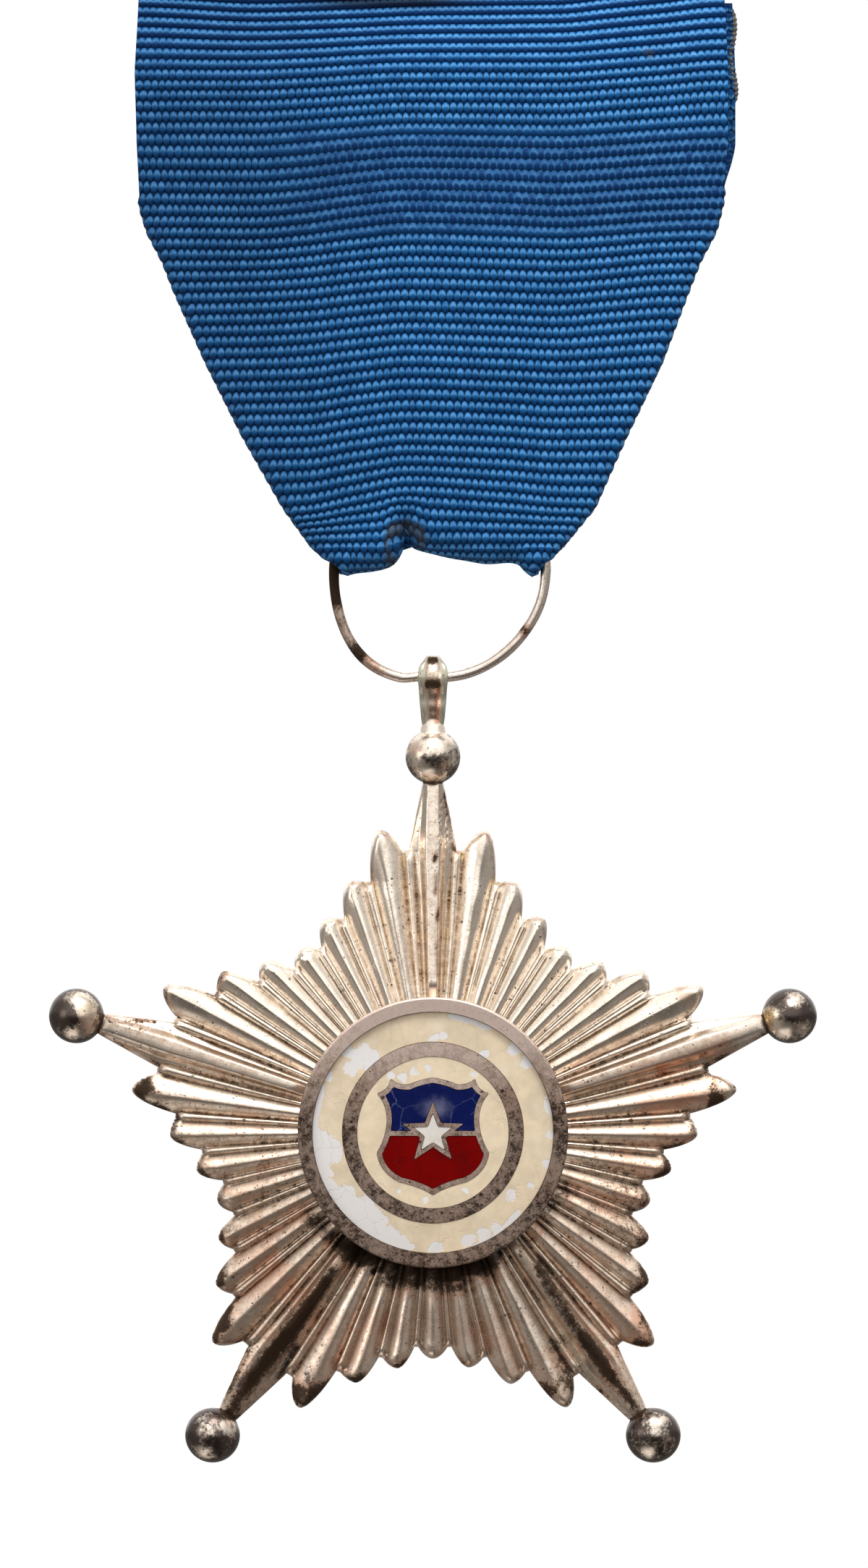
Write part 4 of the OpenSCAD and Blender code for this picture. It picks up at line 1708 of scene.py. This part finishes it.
@dataclass
class Medallion:
    """The enamelled disc: metal plate with its walls, and five fields of enamel."""

    places: Places
    wall_polish: float = 0.17
    cream: Color = (0.85, 0.71, 0.515)
    bare: Color = (0.80, 0.785, 0.785)
    cloudy: Color = (0.86, 0.77, 0.62)
    border_spots: tuple[Row, ...] = (
        (-7.3, -0.6, 1.0), (-6.4, -1.2, 0.85), (-7.1, -2.4, 1.0), (-6.7, -3.6, 0.8), (-5.6, -4.3, 1.15),
        (-4.7, -4.9, 1.25), (-3.9, -5.7, 1.25), (-3.0, -6.6, 0.9), (-1.9, -7.1, 0.75), (-4.5, 4.8, 0.9),
        (-4.0, 4.5, 0.75), (-5.2, 4.0, 0.5), (-5.4, 5.2, 0.45), (-6.6, 3.5, 0.4), (0.0, 6.0, 0.35),
        (0.6, 6.0, 0.35), (3.2, 5.0, 0.4), (3.3, 6.8, 0.45), (5.2, 5.2, 0.5), (5.9, 4.4, 0.45),
        (7.3, 2.2, 0.4), (7.4, -0.2, 0.35), (7.2, -2.0, 0.4), (6.1, -3.3, 0.3), (4.9, -4.0, 0.4),
        (3.2, -6.4, 0.5), (2.3, -6.8, 0.5), (0.2, -7.2, 0.5), (4.0, -6.0, 0.4),
    )
    field_spots: tuple[Row, ...] = (
        (-2.6, 3.55, 0.35), (-1.9, 3.6, 0.4), (-1.1, 3.8, 0.35), (-0.3, 4.0, 0.25), (2.6, 3.6, 0.25),
        (-0.5, -4.3, 0.25), (-2.2, -3.7, 0.2), (2.0, -3.6, 0.2),
    )

    def enamels(self) -> list[tuple[str, str, str, EnamelFinish]]:
        """Lists the enamels.

        Returns:
            The CAD node, the piece, the slot and the finish of each.
        """
        creams = (self.cream, self.bare, self.cloudy)
        return [
            ("enamel_border", "glass_border", "cream_enamel", EnamelFinish(
                "cream_border_enamel", *creams, cloud_share=0.45,
                spots=self.border_spots, strip=(6.75, 7.5), painted_dimming=0.14,
            )),
            ("enamel_field", "glass_field", "cream_enamel", EnamelFinish(
                "cream_field_enamel", *creams, cloud_share=0.35, spots=self.field_spots,
            )),
            ("enamel_chief", "glass_chief", "blue_enamel", EnamelFinish(
                "blue_enamel", (0.0008, 0.006, 0.080), (0.01, 0.02, 0.12), (0.16, 0.17, 0.27),
                cloud_share=0.06, cloud_spot=(0.15, 1.55, 1.35, 0.75), crack=(0.16, 0.20, 0.33),
                crack_share=0.5, roughness=0.12, pit_share=0.3, shine=0.15,
            )),
            ("enamel_base", "glass_base", "red_enamel", EnamelFinish(
                "red_enamel", (0.178, 0.001, 0.001), (0.18, 0.008, 0.008), (0.10, 0.001, 0.001),
                cloud_share=0.8, crack=(0.05, 0.001, 0.001), crack_share=0.4,
                roughness=0.12, pit_share=0.5, shine=0.05,
            )),
            ("enamel_star", "glass_star", "white_enamel", EnamelFinish(
                "white_enamel", (0.80, 0.77, 0.74), (0.8, 0.8, 0.8), (0.66, 0.60, 0.48),
                cloud_share=0.5, roughness=0.16, pit_share=0.3,
            )),
        ]

    def build(self) -> list[Piece]:
        """Builds the plate and the enamels.

        Returns:
            The plate and the five enamels, which replace their CAD nodes.
        """
        middle = self.places.star_middle
        metal = MetalFinish(
            "dull_medallion_metal", (0.70, 0.56, 0.49), (0.33, 0.25, 0.205), dark=(0.050, 0.033, 0.025),
            copper=(0.34, 0.21, 0.16), roughness=0.34, scratch=0.6,
            fade=(middle.z + 7.8, middle.z + 0.2, 0.54),
        )
        plate = carved("medallion", "medallion_plate", metal.material(), edge=0.07, corner=0.12, rim=0.13)
        self.clear_walls(plate.data)
        pieces = [plate]
        for node, name, slot, finish in self.enamels():
            enamel = carved(node, name, finish.material(middle), edge=0.04, corner=0.12)
            pieces.append(enamel)
        return [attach(piece, "star_drop") for piece in pieces]

    def clear_walls(self, mesh: bpy.types.Mesh) -> None:
        """Leaves the thin walls round the shield and its star brighter than the rings.

        Args:
            mesh: The plate's mesh.
        """
        middle = self.places.star_middle
        away = np.array([math.hypot(v.co.x / MM - middle.x, v.co.z / MM - middle.z) for v in mesh.vertices])
        write_field(mesh, "patina", self.wall_polish * -ease(away, 4.9, 4.5))


@dataclass
class BroochPin:
    """The plain bar and pin behind the ribbon's top."""

    edge: float = 0.12

    def build(self) -> Piece:
        """Builds the pin from its own solid, with worn edges.

        Returns:
            The piece, which replaces the pin's CAD node.
        """
        bright, toned = (0.72, 0.69, 0.66), (0.45, 0.41, 0.38)
        finish = MetalFinish("plain_pin_metal", bright, toned, roughness=0.3, scratch=0.6)
        pin = carved("brooch_pin", "pin_bar", finish.material(), self.edge, self.edge)
        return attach(pin, "ribbon_drop")


def paces(start: float, stop: float, pace: Callable[[float], float]) -> Iterator[float]:
    """Walks from one place towards another.

    Args:
        start: The first place.
        stop: Where the walk ends, above or below the start.
        pace: Gives the step from each place, with its sign.

    Yields:
        Each place before stop.
    """
    place = start
    while (stop - place) * (stop - start) > 0.0:
        yield place
        place += pace(place)


class Reach(Enum):
    """Which number of a reach row is read."""

    LEFT = 1
    RIGHT = 2
    BULGE = 3


@dataclass
class Ribbon:
    """One length of ribbed cloth: hem, top fold, front, bottom fold through the ring, and back.

    Reach rows hold height, left and right reach and bulge. Pitch rows hold height and the
    distance between ribs. Sweep rows hold height and how far the ribs rise at each sweep_x.
    The lower edge holds x and how much higher than the plain fold the cloth turns there.
    Below roll_top the cloth may turn round the ring, and below lift_top the back follows the
    lower edge.
    """

    places: Places
    cloth_half: float = 18.65
    thick: float = 0.34
    rib_rise: float = 0.17
    curl: float = 0.36
    back_curl: float = 0.30
    front_y: float = -5.36
    fold_radius: float = 1.36
    back_low_y: float = -2.64
    back_high_y: float = -3.52
    back_top: float = -3.0
    top_radius: float = 1.36
    top_z: float = 2.0
    hem: float = 3.0
    fold_z: float = -37.35
    settle: float = 4.0
    roll_top: float = -30.0
    lift_top: float = -27.0
    edge_strip: float = 0.8
    least_flap: float = 0.15
    thread_x: float = 18.82
    thread_top: float = -3.4
    thread_end: float = -9.4
    thread_half: float = 0.2
    reach_rows: tuple[Row, ...] = (
        (2.0, 18.5, 18.2, 0.0), (-3.0, 18.5, 18.3, 0.7), (-7.5, 18.7, 18.5, 1.8), (-12.0, 18.6, 18.5, 2.1),
        (-15.7, 18.4, 18.1, 1.85), (-17.5, 17.8, 17.6, 1.75), (-19.4, 16.8, 16.6, 1.7),
        (-21.2, 16.1, 15.9, 1.65), (-25.7, 14.1, 14.2, 1.4), (-30.3, 11.8, 12.0, 0.9),
        (-34.8, 9.25, 10.0, 0.3), (-37.4, 7.35, 7.85, 0.0),
    )
    pitch_rows: tuple[Row, ...] = (
        (4.0, 0.6), (-3.0, 0.565), (-7.0, 0.61), (-11.0, 0.675), (-16.0, 0.695), (-30.0, 0.70),
        (-38.0, 0.66),
    )
    sweep_x: Row = (-18.5, -11.3, -8.1, -4.9, -1.5, 4.6, 7.8, 11.0, 14.2, 18.3)
    sweep_rows: tuple[Row, ...] = (
        (-3.0, 0.0, -0.35, -0.3, -0.18, -0.03, 0.07, 0.12, 0.46, 0.81, 1.25),
        (-8.0, -0.5, -0.5, -0.36, -0.17, -0.02, -0.03, -0.02, 0.19, 0.45, 0.8),
        (-16.0, -1.0, -1.05, -0.8, -0.36, -0.03, -0.18, -0.31, -0.14, 0.09, 0.2),
        (-22.0, -0.95, -0.85, -0.68, -0.31, -0.02, -0.2, -0.3, -0.05, 0.24, 0.35),
        (-30.0, -0.95, -0.9, -0.84, -0.35, 0.04, -0.15, -0.36, -0.3, -0.2, 0.0),
        (-35.5, -1.3, -1.25, -1.1, -0.4, 0.25, -0.21, -0.53, -0.6, -0.6, -0.6),
    )
    lower_edge: tuple[Row, ...] = (
        (-19.0, 0.0), (-7.4, 0.0), (-6.5, 0.1), (-5.8, -0.42), (-5.1, -0.08), (-3.7, 0.12), (-2.7, 0.4),
        (-2.25, 1.0), (-1.9, 1.8), (-1.5, 1.75), (-0.9, 1.45), (0.9, 0.98), (2.1, 0.78), (3.5, 0.55),
        (4.8, 0.64), (5.5, 0.48), (6.0, 0.0), (6.4, -0.34), (7.1, 0.0), (7.7, 0.0), (19.0, 0.0),
    )
    columns: int = 62
    curl_columns: int = 6
    flap_columns: int = 4

    def build(self) -> list[Piece]:
        """Builds the cloth and the stray thread at its right edge.

        Returns:
            The cloth, which replaces the ribbon's CAD node, and the thread.
        """
        middle, rib, across = self.middle_surface()
        outer, inner = self.two_faces(middle, rib)
        shape = Shape("ribbed_ribbon")
        fields = {
            "across": across, "rib": rib[:, None],
            "stain": self.stain(outer), "shade": self.shade(outer),
        }
        self.stitch(shape, *(shape.add_grid(face, Loops.NONE, **fields) for face in (outer, inner)))
        cloth = shape.build(ClothFinish().material(), sharp_deg=80.0)
        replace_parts(cloth, "ribbon")
        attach(cloth, "ribbon_drop")
        thread = self.edge_thread()
        length = float(np.sum(np.linalg.norm(np.diff(middle[:, middle.shape[1] // 2], axis=0), axis=-1)))
        LOG.info("ribbon length along its middle: %.1f mm", length)
        2 * self.cloth_half * MM
        return [cloth, thread]

    def reach(self, z: Grid, part: Reach) -> Grid:
        """Returns the left or right reach, or the bulge, at a height."""
        rows = np.array(self.reach_rows)[::-1]
        return np.interp(z, rows[:, 0], rows[:, part.value])

    def pitch(self, z: float) -> float:
        """Returns the distance between ribs at a height."""
        rows = np.array(self.pitch_rows)[::-1]
        return float(np.interp(z, rows[:, 0], rows[:, 1]))

    def stations(self) -> Grid:
        """Walks along the cloth from the hem to the end of the back.

        Returns:
            Rows of [y, z, outward y, outward z, left, right, bulge, front share, curl, rib].
        """
        rows: list[Row] = []
        ends = (float(self.reach(self.top_z, part)) for part in (Reach.LEFT, Reach.RIGHT))
        top = (*ends, 0.0, 0.0, self.curl, 1 / 4)
        pace = self.pitch(self.top_z) / 4
        for z in paces(self.top_z - self.hem, self.top_z, lambda _: pace):
            rows.append((self.front_y + 2 * self.top_radius, z, 1.0, 0.0, *top))
        for turn in paces(0.0, math.pi, lambda _: pace / self.top_radius):
            out_y, out_z = math.cos(turn), math.sin(turn)
            y, z = self.front_y + self.top_radius * (1 + out_y), self.top_z + self.top_radius * out_z
            rows.append((y, z, out_y, out_z, *top))
        for z in paces(self.top_z, self.fold_z, lambda at: -self.pitch(at) / 5):
            sides = np.array([-self.reach(z, Reach.LEFT), self.reach(z, Reach.RIGHT)])
            drop = z + self.sweep(sides, np.array([z, z])) * ease(z, self.fold_z, self.fold_z + self.settle)
            spread = (float(self.reach(at, part)) for at, part in zip((*drop, z), Reach))
            rows.append((self.front_y, z, -1.0, 0.0, *spread, 1.0, self.curl, 1 / 5))
        pace = self.pitch(self.fold_z) / 5 / self.fold_radius
        for turn in paces(0.0, math.pi, lambda _: pace):
            share = turn / math.pi
            out_y, out_z = -math.cos(turn), -math.sin(turn)
            tuck = float(ease(turn, 0.0, 1.3) - ease(turn, 2.3, math.pi))
            y, z = self.front_y + self.fold_radius * (1 + out_y), self.fold_z + self.fold_radius * out_z
            wide = (mix(7.3, 5.55, tuck), mix(7.8, 6.45, tuck), 0.0)
            curl = mix(self.curl, self.back_curl, share)
            rows.append((y, z, out_y, out_z, *wide, 1.0 - share, curl, 1 / 5))
        for z in paces(self.fold_z, self.back_top, lambda at: self.pitch(at) / 3):
            y = float(mix(self.back_low_y, self.back_high_y, ease(z, -31.5, -26.0)))
            peek = 0.55 * float(ease(z, -16.0, -12.0))
            wide = (float(self.reach(z, Reach.LEFT)) - peek, float(self.reach(z, Reach.RIGHT)) + peek)
            rows.append((y, z, 1.0, 0.0, *wide, 0.0, 0.0, self.back_curl, 1 / 3))
        table = np.array(rows)
        table[:, -1] = np.concatenate([[0.0], np.cumsum(table[:-1, -1])])
        return table

    def column_places(self) -> Grid:
        """Spaces the columns of the flat cloth, closer at the notch in the lower edge.

        Returns:
            Places from -1 to 1 across the cloth.
        """
        places = np.linspace(-1.0, 1.0, 4001)
        reached = np.cumsum(1.0 + 2.2 * bell(places + 0.27, 0.1))
        reached = 2.0 * (reached - reached[0]) / (reached[-1] - reached[0]) - 1.0
        return np.interp(np.linspace(-1.0, 1.0, self.columns + 1), reached, places)

    def middle_surface(self) -> tuple[Grid, Grid, Grid]:
        """Lays the cloth along its stations.

        Returns:
            The middle of the cloth as a grid, the rib count of each row, and the distance
            across the cloth of each point.
        """
        y0, z0, out_y, out_z, left, right, bulge, front, curl, rib = self.stations().T[..., None]
        steps = np.hypot(np.diff(y0[:, 0]), np.diff(z0[:, 0]))
        walk = np.concatenate([[0.0], np.cumsum(steps)])[:, None]
        walk = walk - walk[np.argmax(front[:, 0] > 0)]
        bend = ease(z0, -13.5, -17.0)
        flat = self.column_places()[None]
        straights, spans = [], []
        for reach in (left, right):
            straight = mix(self.cloth_half - self.edge_strip, reach - curl, bend)
            curled = np.minimum(straight + math.pi * curl, self.cloth_half - self.least_flap)
            straights.append(straight)
            spans.append(np.concatenate([
                mix(straight, curled, np.linspace(0.0, 1.0, self.curl_columns + 1)[None, 1:]),
                mix(curled, self.cloth_half, np.linspace(0.0, 1.0, self.flap_columns + 1)[None, 1:]),
            ], axis=1))
        flat = flat * np.where(flat < 0, *straights)
        across = np.concatenate([-spans[0][:, ::-1], flat, spans[1]], axis=1)
        reach = np.where(across < 0, left, right)
        straight = np.where(across < 0, *straights)
        away = np.abs(across)
        beyond = np.maximum(away - straight, 0.0)
        turn = np.minimum(beyond / curl, math.pi)
        past = np.maximum(beyond - math.pi * curl, 0.0)
        rolled = straight + curl * np.sin(turn) - np.minimum(past, np.maximum(straight - 0.5, 0.0))
        sunk = curl * (1.0 - np.cos(turn)) * bend
        x = mix(away * reach / self.cloth_half, np.where(beyond > 0, rolled, away), bend) * np.sign(across)
        y = y0 - out_y * sunk - bulge * (1.0 - 0.35 * (x / 18.5) ** 2)
        z = z0 - out_z * sunk + self.sweep(x, z0) * front * ease(z0, self.fold_z, self.fold_z + self.settle)
        y, z = self.folded(y, z, y0, z0, front, smooth_table(self.lower_edge, x), walk)
        arch = 0.5 * bell(x + 1.85, 1.1, 4) * ease(z0, -33.6, -36.2) * (front > 0.6)
        z = z + arch * ease(z0, self.fold_z - 0.4, self.fold_z + 0.4)
        lobe = bell(x + 3.4, 1.3) * bell(z + 37.6, 1.3)
        pinch = bell(x + 1.75, 0.7) * bell(z + 36.2, 1.4)
        y = y + (0.45 * pinch - 0.4 * lobe + 0.05 * ripple(x, z, 7.0, 13)) * front
        return np.stack([x, y, z], axis=-1), rib[:, 0], across

    def folded(
        self, y: Grid, z: Grid, y0: Grid, z0: Grid, front: Grid, lift: Grid, walk: Grid
    ) -> tuple[Grid, Grid]:
        """Lets each column of cloth turn round the ring at its own height.

        Args:
            y: Depth of each point with one straight fold.
            z: Height of each point with one straight fold.
            y0: Depth of each row.
            z0: Height of each row.
            front: 1 on the front layer, and falling to 0 round the fold.
            lift: How much higher than the plain fold each column turns.
            walk: Length of cloth from the top of the front to each row.

        Returns:
            The new depths and heights.
        """
        start = self.top_z - self.fold_z - lift
        end = start + math.pi * self.fold_radius
        turn = np.clip((walk - start) / self.fold_radius, 0.0, math.pi)
        rolling = (walk > start - 0.01) & (walk < end) & (z0 < self.roll_top)
        before = (front > 0.0) & (front < 1.0) & (walk <= start - 0.01)
        past = (front > 0.0) & (walk >= end)
        behind = (front == 0.0) & (walk > start) & (z0 < self.lift_top) & ~rolling
        level = self.fold_z + lift + (z - z0)
        turned = level - self.fold_radius * np.sin(turn)
        raised = z + 2.0 * lift * ease(z0, self.lift_top, self.fold_z)
        heights = [turned, level + start - walk, level + walk - end, raised]
        depth = self.front_y + self.fold_radius * (1.0 - np.cos(turn)) + (y - y0)
        depths = np.where(rolling | before | past, depth, y)
        return depths, np.select([rolling, before, past, behind], heights, z)

    def sweep(self, x: Grid, z: Grid) -> Grid:
        """Reads the sweep rows.

        Args:
            x: Places across the ribbon.
            z: Heights of the rows of cloth.

        Returns:
            How far the rib lines rise above level.
        """
        result: Grid = np.zeros_like(z)
        below: float | None = None
        for height, *rises in reversed(self.sweep_rows):
            rise = smooth_table(list(zip(self.sweep_x, rises)), x)
            result = rise + result if below is None else mix(result, rise, ease(z, below, height))
            below = height
        return result

    def two_faces(self, middle: Grid, rib: Grid) -> tuple[Grid, Grid]:
        """Gives the cloth its thickness, with ribs on the outer face.

        Args:
            middle: The middle of the cloth.
            rib: Rib count of each row.

        Returns:
            The outer and the inner face.
        """
        normal = np.cross(np.gradient(middle, axis=1), np.gradient(middle, axis=0))
        normal /= np.maximum(np.linalg.norm(normal, axis=-1, keepdims=True), 1e-9)
        if normal[middle.shape[0] // 4, middle.shape[1] // 2, 1] > 0:
            normal = -normal
        profile = np.sqrt(np.clip(1.0 - (2.0 * np.mod(rib, 1.0) - 1.0) ** 2, 0.0, 1.0))
        flattened = bell(middle[..., 0] - 1.0, 9.0) * bell(middle[..., 2] + 13.8, 2.6)
        rise = self.rib_rise * (1.0 - 0.5 * flattened) * profile[:, None]
        outer = middle + normal * (self.thick / 2 - 0.05 + rise)[..., None]
        return outer, middle - normal * (self.thick / 2)

    def stitch(self, shape: Shape, outer: Grid, inner: Grid) -> None:
        """Joins the two faces round the cloth's border.

        Args:
            shape: Mesh that holds them.
            outer: Indices of the outer face's points.
            inner: Indices of the inner face's points.
        """
        first, second = (
            np.concatenate([face[0, :-1], face[:-1, -1], face[-1, :0:-1], face[:0:-1, 0]])
            for face in (outer, inner)
        )
        sides = np.stack([first, np.roll(first, -1), np.roll(second, -1), second], axis=-1)
        shape.faces.extend(map(tuple, sides.tolist()))

    def stain(self, points: Grid) -> Grid:
        """Stains the cloth: an old grey-brown arch above the notch and a few faint spots.

        Args:
            points: Points of the cloth.

        Returns:
            How stained each point is.
        """
        x, z = points[..., 0], points[..., 2]
        bow = np.hypot(x + 1.8, (z + 37.3) * 1.1)
        arch = 0.75 * bell(bow - 1.35, 0.55) * ease(np.abs(x + 1.8), 1.6, 0.9)
        low = 0.25 * bell(x - 1.5, 3.5) * bell(z + 36.9, 0.9)
        spot = 0.6 * bell(x - 13.6, 0.5) * bell(z + 6.4, 0.5)
        return np.clip(arch + low + spot, 0.0, 1.0)

    def shade(self, points: Grid) -> Grid:
        """Darkens the dip at the top middle of the front.

        Args:
            points: Points of the cloth.

        Returns:
            How dark each point is.
        """
        x, z = points[..., 0], points[..., 2]
        band = ease(z, -3.9, -3.2) * (0.25 + 0.75 * ease(z, -1.4, -2.6)) * ease(z, 1.5, -1.0)
        return 0.9 * band * bell(x + 2.8, 5.2, 4) * (points[..., 1] < -4.5)

    def edge_thread(self) -> Piece:
        """Builds the stray thread that lies along the back layer's right edge.

        Returns:
            The thread.
        """
        run = np.linspace(0.0, 1.0, 160)
        around = circle(10)
        x = self.thread_x + 0.12 * np.sin(run * 9.0) + 0.12 * run
        z = mix(self.thread_top, self.thread_end, run)
        centre = np.stack([x, np.full_like(run, self.back_high_y), z], axis=-1)
        ends = np.sqrt(np.clip(1.0 - (2 * run - 1) ** 8, 0.02, 1))
        thick = self.thread_half * (1.0 + 0.15 * np.sin(run * 120.0)) * ends
        ring = np.stack([np.cos(around), np.sin(around), np.zeros_like(around)], axis=-1)
        shape = Shape("edge_thread")
        index = shape.add_grid(centre[:, None] + thick[:, None, None] * ring[None])
        for end in (0, -1):
            shape.close(index[end], centre[end])
        thread = shape.build(ThreadFinish().material())
        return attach(thread, "ribbon_drop")


def report(title: str, pieces: Sequence[Piece]) -> None:
    """Logs the pieces of a sub-assembly and how many triangles each has.

    Args:
        title: Name of the sub-assembly.
        pieces: Its pieces.
    """
    for piece in pieces:
        triangles = sum(len(face.vertices) - 2 for face in piece.data.polygons)
        LOG.info("%s: %s, %d triangles", title, piece.name, triangles)


def main() -> None:
    """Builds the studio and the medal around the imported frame."""
    logging.basicConfig(level=logging.INFO, format="%(name)s %(message)s")
    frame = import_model()
    places = Places.from_frame(frame)
    Studio(places).build()
    report("ribbon", Ribbon(places).build())
    report("ring", [WireRing(places).build()])
    report("pin", [BroochPin().build()])
    report("star", [RayedStar(places).build()])
    report("medallion", Medallion(places).build())
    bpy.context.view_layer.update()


if __name__ == "__main__":
    main()
